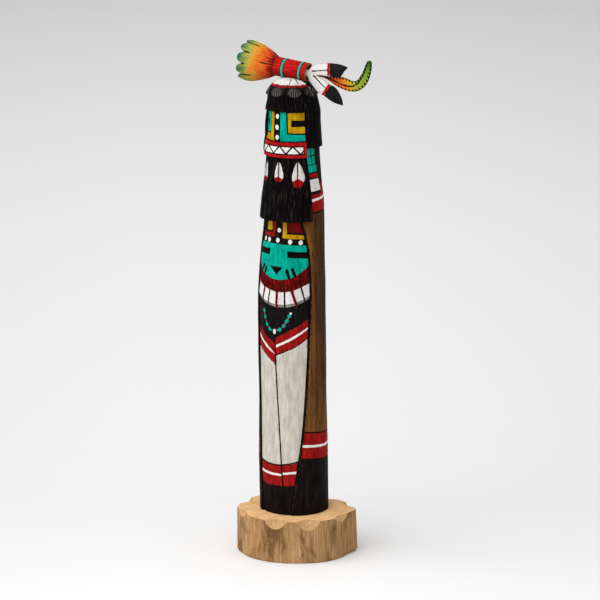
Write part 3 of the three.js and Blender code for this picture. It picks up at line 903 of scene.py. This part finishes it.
def build_figure():
    bearing, share, radius, zone, inside, lock = figure_rows()
    height = share * FIGURE_HEIGHT
    paint = {layer: np.full(bearing.shape, OUTSIDE) for layer in LAYERS}
    surface = SimpleNamespace(
        paint=paint, bearing=bearing, share=share, height=height, radius=radius, zone=zone, inside=inside,
    )
    for paint_on in (paint_panel, paint_robe, paint_head, paint_crown):
        paint_on(surface)
    points = cylinder(bearing, carve(surface), BASE_HEIGHT + height)
    points[..., :2] += smooth(LEAN, share)[..., None] * TRUNK_RADIUS * np.array(LEAN_WAY)
    paint["lock"] = lock
    paint["ridge"] = np.where(zone == CROWN_ZONE, OUTSIDE, 0.45 - np.abs(inside + 0.5))
    # Painted shade: the wood darkens from the front towards the sides and back, more so higher up.
    paint["stain"] = ease(np.abs(bearing), 56, 82) * (0.6 + 0.4 * ease(height, 70, 150))
    return capped_mesh("painted_figure", bed_stem(points), paint, (0,), 40)


def figure_material():
    nodes = Nodes("painted wood")
    grain = nodes.noise((1150, 1150, 30), 5, 0.62, 0.4)
    streak = nodes.noise((190, 190, 8), 3, 0.5, 0.8)
    fleck = nodes.noise((1500, 1500, 160), 3, 0.6)
    color = nodes.shades(grain, 0.34, 0.66, (74, 42, 19), (160, 107, 54))
    color = nodes.over(color, (66, 38, 18), streak, 0.42, 0.66, 0.7)
    color = nodes.over(color, (40, 23, 11), fleck, 0.55, 0.68, 0.8)
    cloud = nodes.sway(0.3, (60, 60, 22), 3)
    # Painted shade that darkens the wood towards the sides and back, with a cloud of noise through it
    stain = nodes.field("stain")
    color = nodes.over(color, (40, 23, 11), nodes.plus(stain, cloud), 0.2, 1, 0.7)
    color = nodes.brushed(color, [
        ("black", (7, 5, 5), (30, 25, 24)),
        ("cream", (184, 178, 165), (219, 214, 203)),
        ("grey", (96, 94, 93), (172, 168, 164), 0.2),
        ("white", (208, 204, 198), (242, 240, 236)),
        ("dark", (78, 6, 8), (126, 16, 16)),
        ("red", (112, 13, 13), (172, 28, 25)),
        ("bright", (136, 12, 14), (198, 26, 26)),
        ("blue", (0, 136, 120), (0, 186, 162)),
        ("yellow", (156, 114, 6), (212, 166, 20)),
        ("chalk", (222, 219, 213), (248, 246, 243)),
    ])
    # Strands in the hair: thin lighter threads of painted highlight, fewer at the sides where the painted
    # shade is, and dark furrows of painted shade
    hair = nodes.above(nodes.field("hair"), 0)
    threads = nodes.noise((1150, 1150, 24), 4, 0.62)
    shine = nodes.times(nodes.span(threads, 0.52, 0.66, 0, 0.85), nodes.span(stain, 0, 1, 1, 0.3))
    lock = nodes.field("lock")
    cover = nodes.math("MAXIMUM", nodes.field("white"), nodes.field("bright"))
    bare = nodes.times(hair, nodes.below(cover, 0))
    color = nodes.mix(nodes.times(bare, 0.8), color, (5, 4, 4))
    color = nodes.mix(nodes.times(bare, shine), color, (54, 48, 45))
    # Painted shade in the carved furrows of the hair
    color = nodes.mix(nodes.times(nodes.span(lock, 0.3, 0.85, 0, 0.85), bare), color, (4, 3, 3))
    # Red threads in the fringe, with dark gaps
    fringe = nodes.above(nodes.field("fringe"), 0)
    color = nodes.mix(nodes.times(fringe, nodes.span(threads, 0.57, 0.64)), color, (158, 34, 24))
    gaps = nodes.math("MAXIMUM", nodes.span(threads, 0.45, 0.39), nodes.span(lock, 0.3, 0.6))
    color = nodes.mix(nodes.times(fringe, gaps), color, (14, 6, 6))
    color = nodes.over(color, (150, 148, 146), nodes.field("petal"), 0, 0.7, 0.75)
    color = nodes.brushed(color, [("ink", (8, 6, 6), (20, 15, 14), 0.1)], 0.1)
    # Specks of bare wood where a carved ridge has worn
    specks = nodes.span(nodes.noise((800, 800, 500), 3, 0.6), 0.53, 0.62, 0, 0.75)
    worn = nodes.times(nodes.span(nodes.field("ridge"), 0, 0.35), specks)
    color = nodes.mix(worn, color, (112, 72, 36))
    # A thin grey wash caught in the grain of the light paint
    light = nodes.above(nodes.field("cream"), 0.1)
    wash = nodes.times(light, nodes.span(streak, 0.5, 0.74, 0, 0.35))
    clear = nodes.below(nodes.field("ink"), 0)
    color = nodes.mix(nodes.times(wash, clear), color, (142, 132, 114))
    roughness = nodes.span(nodes.noise((300, 300, 90), 3), 0.3, 0.7, 0.5, 0.7)
    ridges = nodes.times(nodes.math("MAXIMUM", hair, fringe), nodes.span(threads, 0.3, 0.7))
    return nodes.finish(color, roughness, nodes.plus(nodes.times(grain, 0.35), ridges), 0.0004, 0.8)


# The base: its outline as shares of half its length, and gouges as bearing, half width and depth.
FIRST_BEARING = -110
RIM = [
    [-110, 0.876], [-90, 0.888], [-75, 0.909], [-58, 0.944], [-38, 0.934], [-10, 0.934], [12, 0.929],
    [34, 0.929], [57, 0.964], [74, 0.98], [90, 0.972], [101, 0.985], [111, 1.035], [120, 0.975],
    [135, 0.9], [150, 0.838], [165, 0.8], [180, 0.787], [195, 0.8], [210, 0.825], [230, 0.85],
    [250, 0.876],
]
GOUGES = [
    (-82, 12, 0.9), (-38, 12, 0.5), (11, 12.5, 0.95), (45, 13, 1), (84, 11, 0.65), (127, 11, 0.75),
    (160, 12, 0.85), (197, 12, 0.7), (236, 12, 0.8),
]
BASE_COLUMNS = 360
WALL_LAYOUT_RADIUS = 36


def build_base():
    bearing = FIRST_BEARING + 360 * np.arange(BASE_COLUMNS) / BASE_COLUMNS
    cut = np.zeros(BASE_COLUMNS)
    for middle, half, share in GOUGES:
        away = (bearing - middle + 180) % 360 - 180
        cut = np.maximum(cut, share * np.clip(1 - (away / half) ** 2, 0, None))
    rim = smooth(RIM, bearing) * BASE_LENGTH / 2
    drop = np.maximum(RIM_WEAR, cut * GOUGE_DROP)
    inset = np.maximum(RIM_WEAR, cut * GOUGE_INSET)
    flare = FOOT_FLARE * np.exp(-(((bearing - FLARE_BEARING) / FLARE_WIDTH) ** 2))
    # Each ring has its height, its radius, how far the axe's marks count and how bare a gouge left it.
    rings = Rings(BASE_COLUMNS)
    for up, inward in ((0, 1), (0.3, 0.3), (1, 0)):
        rings.add(FOOT_BEVEL * up, rim - FOOT_BEVEL * inward, 0.3, 0)
    for t in steps(23):
        rings.add(lerp(FOOT_BEVEL, BASE_HEIGHT - drop, t), rim + flare * (1 - t), 1, 0)
    for t in steps(8):
        hollow = 0.2 * math.sin(math.pi * t)
        rings.add(BASE_HEIGHT - drop * (1 - t + hollow), rim - inset * t, 1, ease(cut, 0.02, 0.12))
    for t in steps(33):
        rings.add(BASE_HEIGHT, lerp(rim - inset, 0, t), 0, 0)
    z, r, wall, bare = rings.arrays()
    top = z > BASE_HEIGHT - WELD
    # Marks of the axe on the wall and of the gouge in the cuts
    x = np.radians(bearing) * WALL_LAYOUT_RADIUS
    facet = 0.22 * noise(x / 5 + 40, z / 30, 5) + 0.12 * noise(x / 1.7 + 90, z / 14, 6)
    r = r - wall * (BASE_INSET - facet) * (1 - bare) * (z < BASE_HEIGHT - 0.1)
    chips = bare * 0.2 * noise(np.radians(bearing) * 26 + 200, z * 1.1, 9)
    z = np.minimum(z + chips * (z < BASE_HEIGHT - 0.5), BASE_HEIGHT)
    points = cylinder(bearing + 0 * z, r, z)
    return capped_mesh("base_slab", points, {"fresh": bare, "top": top}, (0,), 35)


def base_material():
    nodes = Nodes("bare wood")
    grain = nodes.noise((1000, 1000, 34), 5, 0.62, 0.3)
    broad = nodes.noise((150, 150, 14), 3, 0.5, 0.5)
    patch = nodes.noise((105, 105, 44), 4, 0.6, 0.4)
    pale = nodes.noise((130, 130, 30), 4, 0.6, 0.3)
    speck = nodes.noise((420, 420, 240), 2, 0.5)
    checks = nodes.noise((620, 620, 9), 2, 0.5)
    side = nodes.shades(grain, 0.33, 0.67, (146, 107, 68), (206, 163, 114))
    side = nodes.over(side, (148, 108, 68), broad, 0.44, 0.7, 0.6)
    side = nodes.over(side, (218, 180, 138), pale, 0.5, 0.72, 0.6)
    side = nodes.over(side, (108, 76, 46), patch, 0.48, 0.64, 0.85)
    side = nodes.over(side, (84, 58, 36), speck, 0.69, 0.76, 0.7)
    side = nodes.over(side, (96, 68, 42), checks, 0.63, 0.72, 0.55)
    rings = nodes.noise((210, 60, 40), 4, 0.6, 0.9)
    top = nodes.shades(rings, 0.35, 0.68, (250, 204, 150), (236, 182, 124))
    top = nodes.over(top, (218, 162, 106), patch, 0.5, 0.75, 0.5)
    chips = nodes.noise(950, 4, 0.65)
    fresh = nodes.shades(chips, 0.34, 0.66, (184, 138, 90), (230, 186, 132))
    color = nodes.mix(nodes.field("top"), side, top)
    stray = nodes.plus(nodes.field("fresh"), nodes.span(chips, 0.3, 0.7, -0.45, 0.3))
    color = nodes.mix(nodes.span(stray, 0.3, 0.75), color, fresh)
    rough = nodes.plus(grain, nodes.times(nodes.times(chips, nodes.field("fresh")), 1.6))
    return nodes.finish(color, nodes.span(grain, 0.3, 0.7, 0.72, 0.92), rough, 0.0005, 0.8)


# The bundle: the fan's flare towards its neck, and where the two strings lie on the wrap.
FLARE = [[0, 0.95], [0.15, 1], [0.3, 0.94], [0.45, 0.82], [0.62, 0.6], [0.8, 0.34], [0.92, 0.1], [1, 0]]
STRINGS = (-6.1, 5.9)
STRING_SWELL = 0.22
STEM_RADIUS = WRAP_RADIUS - 0.3
FAN_LIP = 0.88
LOBED = 0.17
BUNDLE_COLUMNS = 200
WRAP, FAN, SOCKET = range(3)


def build_bundle():
    angle = 2 * math.pi * np.arange(BUNDLE_COLUMNS) / BUNDLE_COLUMNS
    notch = np.abs(np.sin(FAN_LOBES / 2 * angle))
    tip = NECK - FAN_LENGTH
    edge = tip + LOBE_LENGTH * (1 - notch) ** 1.5
    rings = Rings(BUNDLE_COLUMNS)

    def ring(x, radius, part, painted=False):
        rings.add(x, radius, part, painted)

    def fan_radius(share):
        return lerp(STEM_RADIUS, FAN_RADIUS, smooth(FLARE, share))

    hub, lip = tip + LOBE_LENGTH + FAN_DISH, edge + 0.4
    for t in np.linspace(0, 1, 13):
        ring(lerp(hub, lip, t**1.6), FAN_RADIUS * lerp(0.02, FAN_LIP, t), FAN)
    for n, t in enumerate(steps(7)):
        ring(lip - 0.4 * math.sin(math.pi / 2 * t), lerp(FAN_RADIUS * FAN_LIP, fan_radius(0), t), FAN, n > 2)
    for share in steps(45):
        lobed = lerp(edge, tip + FAN_LENGTH * LOBED, share / LOBED)
        ring(lobed if share < LOBED else tip + FAN_LENGTH * share, fan_radius(share), FAN, True)
    for t in np.linspace(0, 1, 80):
        x = lerp(NECK, STEM_END, t)
        swell = sum(STRING_SWELL * math.exp(-(((x - s) / 0.75) ** 2)) for s in STRINGS)
        ring(x, STEM_RADIUS + swell + 0.05 * math.sin(x * 2.3), WRAP)
    socket = WRAP_RADIUS - SOCKET_WALL
    for t in steps(4):
        ring(STEM_END, lerp(STEM_RADIUS, socket, t), SOCKET)
    for t in steps(4):
        ring(STEM_END - SOCKET_DEPTH * t, socket, SOCKET)
    ring(STEM_END - SOCKET_DEPTH, 0.05, SOCKET)
    x, r, part, painted = rings.arrays()
    # Barbs along the fan, and furrows between its lobes
    barbs = np.abs(np.sin(FAN_LOBES * 2.5 * angle + 0.8 * np.sin(x * 0.35)))
    share = np.clip((NECK - x) / FAN_LENGTH, 0, 1)
    split = notch * r / (FAN_LOBES / 2)
    hollow = np.clip(1 - split / 1.3, 0, 1) ** 2
    r = r - (part == FAN) * (
        ease(share, 0.35, 0.95) * 0.55 * hollow + 0.16 * (1 - barbs) * ease(share, 0, 0.2)
    )
    points = from_bundle(np.stack([x, r * np.cos(angle), r * np.sin(angle)], -1))
    for row in (0, -1):
        points[row] = points[row].mean(axis=0)
    # Lines between the lobes and along their ends, and short strokes at the neck
    line = np.minimum(0.55 - split, (share - 1 + 0.34 + 0.12 * np.sin(7 * angle + 1)) * 6)
    end = np.minimum(0.55 - (x - edge), 3 * (np.abs(np.sin(4 * angle + 2)) - 0.45))
    reach = 0.2 + 0.08 * np.sin(5 * angle) + 0.08 * np.sin(11 * angle + 1)
    tick = np.minimum((reach - share) * 12, (share - 0.02) * 30)
    tick = np.minimum(tick, 0.34 - np.abs(np.sin(13 * angle)) * r / 13)
    fields = {
        "along": x,
        "part": part,
        # How far towards the underside, where painted shade darkens the bundle
        "under": -np.sin(angle) + 0 * x,
        "rib": barbs,
        "ink": np.where(painted, np.maximum(np.maximum(line, end), tick), OUTSIDE),
    }
    return grid_mesh("painted_bundle", points, fields, sharp=45)


def bundle_material():
    nodes = Nodes("painted bundle")
    along, under, part = nodes.field("along"), nodes.field("under"), nodes.field("part")
    patch = nodes.sway(2.6, (150, 420, 420), 3)
    fine = nodes.noise((160, 1300, 1300), 4, 0.6)
    place = nodes.plus(along, nodes.plus(patch, nodes.span(fine, 0.3, 0.7, -1.6, 1.6)))
    fan = nodes.ramp(nodes.span(place, NECK - FAN_LENGTH, NECK), [
        (0, (52, 104, 74)), (0.14, (112, 146, 76)), (0.3, (168, 172, 76)), (0.42, (228, 164, 58)),
        (0.58, (236, 122, 40)), (0.76, (224, 78, 36)), (0.9, (200, 42, 30)), (1, (150, 26, 22)),
    ])
    fan = nodes.over(fan, (96, 60, 28), nodes.field("rib"), 0.3, 0, 0.45)
    fan = nodes.over(fan, (250, 190, 90), fine, 0.58, 0.74, 0.4)
    # Painted shade on the fan's underside
    fan = nodes.over(fan, (120, 44, 20), under, 0.1, 1, 0.35)
    brush = nodes.span(nodes.noise((120, 900, 900), 4, 0.6), 0.34, 0.68)
    wrap = nodes.mix(brush, (150, 12, 16), (222, 34, 32))
    wrap = nodes.over(wrap, (60, 10, 12), nodes.noise((90, 1500, 1500), 3), 0.64, 0.72, 0.8)
    # Painted shade on the wrap's underside
    wrap = nodes.over(wrap, (70, 10, 12), under, -0.1, 0.9, 0.7)
    stray = nodes.sway(0.12, 600, 2)
    for middle in STRINGS:
        away = nodes.math("ABSOLUTE", nodes.math("SUBTRACT", nodes.plus(along, stray), middle))
        wrap = nodes.over(wrap, (22, 12, 12), away, 1.25, 1.1)
        wrap = nodes.over(wrap, (40, 190, 166), away, 0.72, 0.58)
    color = nodes.mix(nodes.above(part, 0.5), wrap, fan)
    wood = nodes.mix(brush, (96, 62, 34), (156, 110, 64))
    color = nodes.mix(nodes.above(part, 1.5), color, wood)
    color = nodes.brushed(color, [("ink", (14, 12, 10), (34, 30, 22))], 0.1)
    return nodes.finish(color, nodes.span(brush, 0, 1, 0.5, 0.68), fine, 0.0004, 0.7)


# The feathers: an upper and a lower edge each, as shares of the reach, from the stem's end.
def root(reach, *heights):
    return [(-(SOCKET_DEPTH - CLEARANCE) / reach, height) for height in heights]


WHITE_ROOT = root(FEATHER_REACH, 1.5 / FEATHER_REACH, -1.5 / FEATHER_REACH)
PLUME_ROOT = root(PLUME_REACH, 0.012, -0.03)
UPPER_FEATHER = [
    [
        WHITE_ROOT[0], (0.03, 0.09), (0.1, 0.19), (0.21, 0.255), (0.45, 0.32), (0.75, 0.35), (0.9, 0.34),
        (1, 0.316),
    ],
    [
        WHITE_ROOT[1], (0.06, -0.05), (0.18, -0.02), (0.35, 0.015), (0.55, 0.04), (0.82, 0.055),
        (0.92, 0.21), (0.99, 0.3),
    ],
]
LOWER_FEATHER = [
    [
        WHITE_ROOT[0], (0.12, 0.03), (0.25, -0.02), (0.37, -0.06), (0.57, -0.155), (0.74, -0.205),
        (0.86, -0.32), (0.945, -0.45), (0.98, -0.56),
    ],
    [
        WHITE_ROOT[1], (0.02, -0.09), (0.065, -0.17), (0.18, -0.275), (0.31, -0.385), (0.5, -0.455),
        (0.63, -0.515), (0.78, -0.562), (0.975, -0.58),
    ],
]
PLUME = [
    [
        PLUME_ROOT[0], (0.1, 0), (0.24, -0.003), (0.37, 0.012), (0.53, 0.033), (0.65, 0.02), (0.72, 0.007),
        (0.785, 0.03), (0.835, 0.1), (0.87, 0.18), (0.9, 0.285), (0.925, 0.345), (0.96, 0.362),
    ],
    [
        PLUME_ROOT[1], (0.1, -0.035), (0.24, -0.03), (0.33, -0.052), (0.42, -0.092), (0.5, -0.122),
        (0.6, -0.143), (0.69, -0.15), (0.79, -0.135), (0.865, -0.092), (0.932, -0.02), (0.97, 0.06),
        (0.99, 0.14), (1, 0.25), (0.99, 0.34),
    ],
]
# How far the white feathers and the curved one lie to each side of the stem's middle
LAYER = FEATHER_THICKNESS / 2 + CLEARANCE / 2


def even_curve(points, count):
    """Points at equal steps along a curve through the given ones."""
    p = np.asarray(points, float)
    chord = np.concatenate([[0], np.cumsum(np.sqrt(np.linalg.norm(np.diff(p, axis=0), axis=1)))])
    t = np.linspace(0, chord[-1], 400)
    fine = np.stack([smooth(np.stack([chord, p[:, n]], 1), t) for n in (0, 1)], 1)
    length = np.concatenate([[0], np.cumsum(np.linalg.norm(np.diff(fine, axis=0), axis=1))])
    at = np.linspace(0, length[-1], count)
    return np.stack([np.interp(at, length, fine[:, n]) for n in (0, 1)], 1)


def feather_points(edges, reach, y, rows, columns):
    """Rows of points round the feather's section from its root to its tip, in the bundle's frame,
    with the share from the upper edge to the lower one, the barbs, and the feather's width."""
    upper, lower = [even_curve(e, rows) * reach for e in edges]
    across = np.concatenate([np.linspace(0, 1, columns), np.linspace(1, 0, columns)])
    side = np.concatenate([-np.ones(columns), np.ones(columns)])
    p = lerp(upper[:, None], lower[:, None], across[None, :, None])
    width = np.linalg.norm(upper - lower, axis=1)[:, None]
    middle = lerp(FEATHER_EDGE, FEATHER_THICKNESS, np.clip(width / FEATHER_THICKNESS / 1.5, 0, 1))
    across = across + np.zeros((rows, 1))
    away = np.abs(across - 0.5)
    thick = lerp(FEATHER_EDGE, middle, 1 - 2 * away)
    u = np.linspace(0, 1, rows)[:, None] * reach
    barbs = np.abs(np.sin((u + 3.2 * away) * 2.6))
    thick = thick - 0.14 * (1 - barbs) * ease(away, 0.06, 0.14) + 0.12 * (1 - ease(away, 0.03, 0.07))
    thick = np.minimum(thick, FEATHER_THICKNESS) - 0.02
    points = np.stack([p[..., 0] + STEM_END, y + side * thick / 2, p[..., 1]], -1)
    return points, across, barbs, width


def feather_mesh(name, points, fields):
    return capped_mesh(name, from_bundle(points), fields, (0, -1), 60)


def upper_black(x, n):
    return x - np.interp(n, [0.6, 5, 10.2], [25.8, 25.3, 24.9])


def lower_black(x, n):
    return ((x - 21.6) * 9.8 - (n + 13.2) * 5.0) / math.hypot(5.0, 9.8) - 0.9


# Each white feather's edges, its red band, its midrib, and the distance into its black tip
WHITE_FEATHERS = (
    (UPPER_FEATHER, [(24.0, 10.2), (24.4, 5), (24.9, 0.6)], [(13.5, 1.9), (24.5, 4.7)], upper_black),
    (LOWER_FEATHER, [(21.6, -13.2), (24.6, -7.6), (26.6, -3.4)], [(14.6, -0.9), (24.3, -7.5)], lower_black),
)


def build_white_feathers():
    objects = []
    for edges, band, rib, black in WHITE_FEATHERS:
        points, across, barbs, _ = feather_points(edges, FEATHER_REACH, -LAYER, 90, 22)
        x, n = points[..., 0], points[..., 2]
        objects.append(feather_mesh("painted_white_feathers", points, {
            "red": stroke(x, n, band, (1.9,)),
            "black": black(x, n),
            "ink": stroke(x, n, rib, (0.9, 0.5)),
            "barbs": barbs,
            "edge": np.minimum(across, 1 - across) * 8,
        }))
    bpy.ops.object.select_all(action="DESELECT")
    for item in objects:
        item.select_set(True)
    bpy.context.view_layer.objects.active = objects[0]
    bpy.ops.object.join()
    return objects[0]


def white_feather_material():
    nodes = Nodes("white feathers")
    barbs = nodes.field("barbs")
    color = nodes.shades(barbs, 0, 0.3, (176, 172, 166), (238, 236, 230))
    color = nodes.over(color, (120, 114, 108), nodes.field("edge"), 0.5, 0.2, 0.5)
    color = nodes.brushed(color, [
        ("red", (150, 12, 16), (206, 30, 30)),
        ("black", (9, 8, 8), (30, 27, 27)),
        ("ink", (14, 10, 10), (28, 22, 20)),
    ])
    # Painted highlight: grey along the crests of the barbs in the black tips
    tip = nodes.span(nodes.field("black"), 0.2, 0.6, 0, 0.3)
    color = nodes.mix(nodes.times(tip, nodes.span(barbs, 0.75, 1)), color, (92, 90, 90))
    return nodes.finish(color, 0.62, barbs, 0.0003, 0.5)


def build_parrot_feather():
    points, across, barbs, width = feather_points(PLUME, PLUME_REACH, LAYER, 200, 16)
    rib = [
        (21, -0.6), (23, -0.7), (28.1, -1.6), (33.9, -3), (38, -3.4), (41.9, -2.7), (44.8, -0.2), (47.1, 4.2),
        (48.5, 8.2), (49.5, 13.1),
    ]
    share = np.linspace(0, 1, 200)[:, None] + 0 * across
    side = np.minimum(across, 1 - across)
    tick = 0.95 - side * width * 0.4 - np.abs(np.sin(share * 24 * math.pi)) * 0.9
    midrib = stroke(points[..., 0], points[..., 2], rib, (1.0, 1.0, 0.8))
    return feather_mesh("painted_parrot_feather", points, {
        "ink": np.maximum(midrib, np.minimum(tick, (0.42 - side) * 6)),
        "share": share,
        "barbs": barbs,
    })


def parrot_feather_material():
    nodes = Nodes("parrot feather")
    stray = nodes.sway(0.05, 700, 3)
    color = nodes.ramp(nodes.plus(nodes.field("share"), stray), [
        (0, (180, 30, 24)), (0.2, (212, 52, 28)), (0.38, (228, 88, 32)), (0.5, (232, 122, 38)),
        (0.57, (216, 168, 48)), (0.66, (168, 176, 52)), (0.82, (126, 160, 50)), (0.94, (74, 118, 46)),
        (1, (48, 84, 40)),
    ])
    barbs = nodes.field("barbs")
    color = nodes.over(color, (90, 50, 20), barbs, 0.25, 0, 0.45)
    color = nodes.brushed(color, [("ink", (16, 12, 10), (30, 24, 18))], 0.1)
    return nodes.finish(color, 0.6, barbs, 0.0003, 0.5)


# Camera, light and floor

def set_camera():
    data = bpy.data.cameras.new("camera")
    data.lens = LENS
    data.sensor_width = SENSOR
    data.clip_end = 50
    camera = link("camera", data)
    a = math.radians(VIEW_BEARING)
    camera.location = Vector((
        VIEW_DISTANCE * math.sin(a) + VIEW_ASIDE * math.cos(a),
        -VIEW_DISTANCE * math.cos(a) + VIEW_ASIDE * math.sin(a),
        VIEW_HEIGHT,
    )) * MM
    camera.rotation_euler = Euler((math.radians(90 - VIEW_FALL), 0, a))
    bpy.context.scene.camera = camera


def sun(name, bearing, rise, strength, width):
    """A broad light from one side. The width of its source is in degrees."""
    data = bpy.data.lights.new(name, "SUN")
    data.energy = strength
    data.angle = math.radians(width)
    light = link(name, data)
    a, e = math.radians(bearing), math.radians(rise)
    way = Vector((-math.sin(a) * math.cos(e), math.cos(a) * math.cos(e), -math.sin(e)))
    light.rotation_euler = way.to_track_quat("-Z", "Y").to_euler()


SKY_STRENGTH = 0.33


def set_light():
    scene = bpy.context.scene
    scene.view_settings.view_transform = "Standard"
    world = bpy.data.worlds.new("studio")
    world.use_nodes = True
    background = world.node_tree.nodes["Background"]
    background.inputs["Color"].default_value = (1, 1, 1, 1)
    background.inputs["Strength"].default_value = SKY_STRENGTH
    scene.world = world
    sun("key", -26, 44, 1.45, 76)
    sun("top", 6, 80, 1.3, 110)


# The floor is a disc, with painted shade for the light's falloff: its grey falls off with the distance in
# metres behind the figure, and to the sides.
FLOOR_RADIUS = 8
FLOOR_CORNERS = 96
FLOOR_GREYS = [(-0.1, 252), (0.11, 241), (1.03, 231), (2.7, 202)]
SIDE_GREY = (120, 120, 122)


def floor_material():
    nodes = Nodes("floor")
    a = math.radians(VIEW_BEARING)

    def along(way):
        node = nodes.add("ShaderNodeVectorMath", {"operation": "DOT_PRODUCT"})
        nodes.feed(node.inputs[0], nodes.place)
        node.inputs[1].default_value = way
        return node.outputs["Value"]

    behind, aside = along((-math.sin(a), math.cos(a), 0)), along((math.cos(a), math.sin(a), 0))
    first, last = FLOOR_GREYS[0][0], FLOOR_GREYS[-1][0]
    stops = [((d - first) / (last - first), (g, g, g)) for d, g in FLOOR_GREYS]
    color = nodes.ramp(nodes.span(behind, first, last), stops)
    away = nodes.math("MAXIMUM", nodes.plus(behind, VIEW_DISTANCE * MM), 1)
    share = nodes.math("DIVIDE", aside, away)
    color = nodes.over(color, SIDE_GREY, share, 0.02, 0.12, 0.12)
    color = nodes.over(color, SIDE_GREY, share, -0.05, -0.12, 0.06)
    nodes.feed(nodes.shader.inputs["Base Color"], color)
    nodes.shader.inputs["Roughness"].default_value = 0.9
    nodes.shader.inputs["Specular IOR Level"].default_value = 0.1
    return nodes.material


def set_floor():
    turns = [2 * math.pi * n / FLOOR_CORNERS for n in range(FLOOR_CORNERS)]
    ring = [(FLOOR_RADIUS * math.cos(turn), FLOOR_RADIUS * math.sin(turn), 0) for turn in turns]
    mesh = bpy.data.meshes.new("floor")
    mesh.from_pydata(ring, [], [list(range(FLOOR_CORNERS))])
    mesh.materials.append(floor_material())
    floor = link("floor", mesh)


set_camera()
set_light()
set_floor()
dress(build_figure(), figure_material(), "figure")
dress(build_base(), base_material(), "base")
dress(build_bundle(), bundle_material(), "feather_bundle")
dress(build_white_feathers(), white_feather_material(), "white_feathers")
dress(build_parrot_feather(), parrot_feather_material(), "parrot_feather")
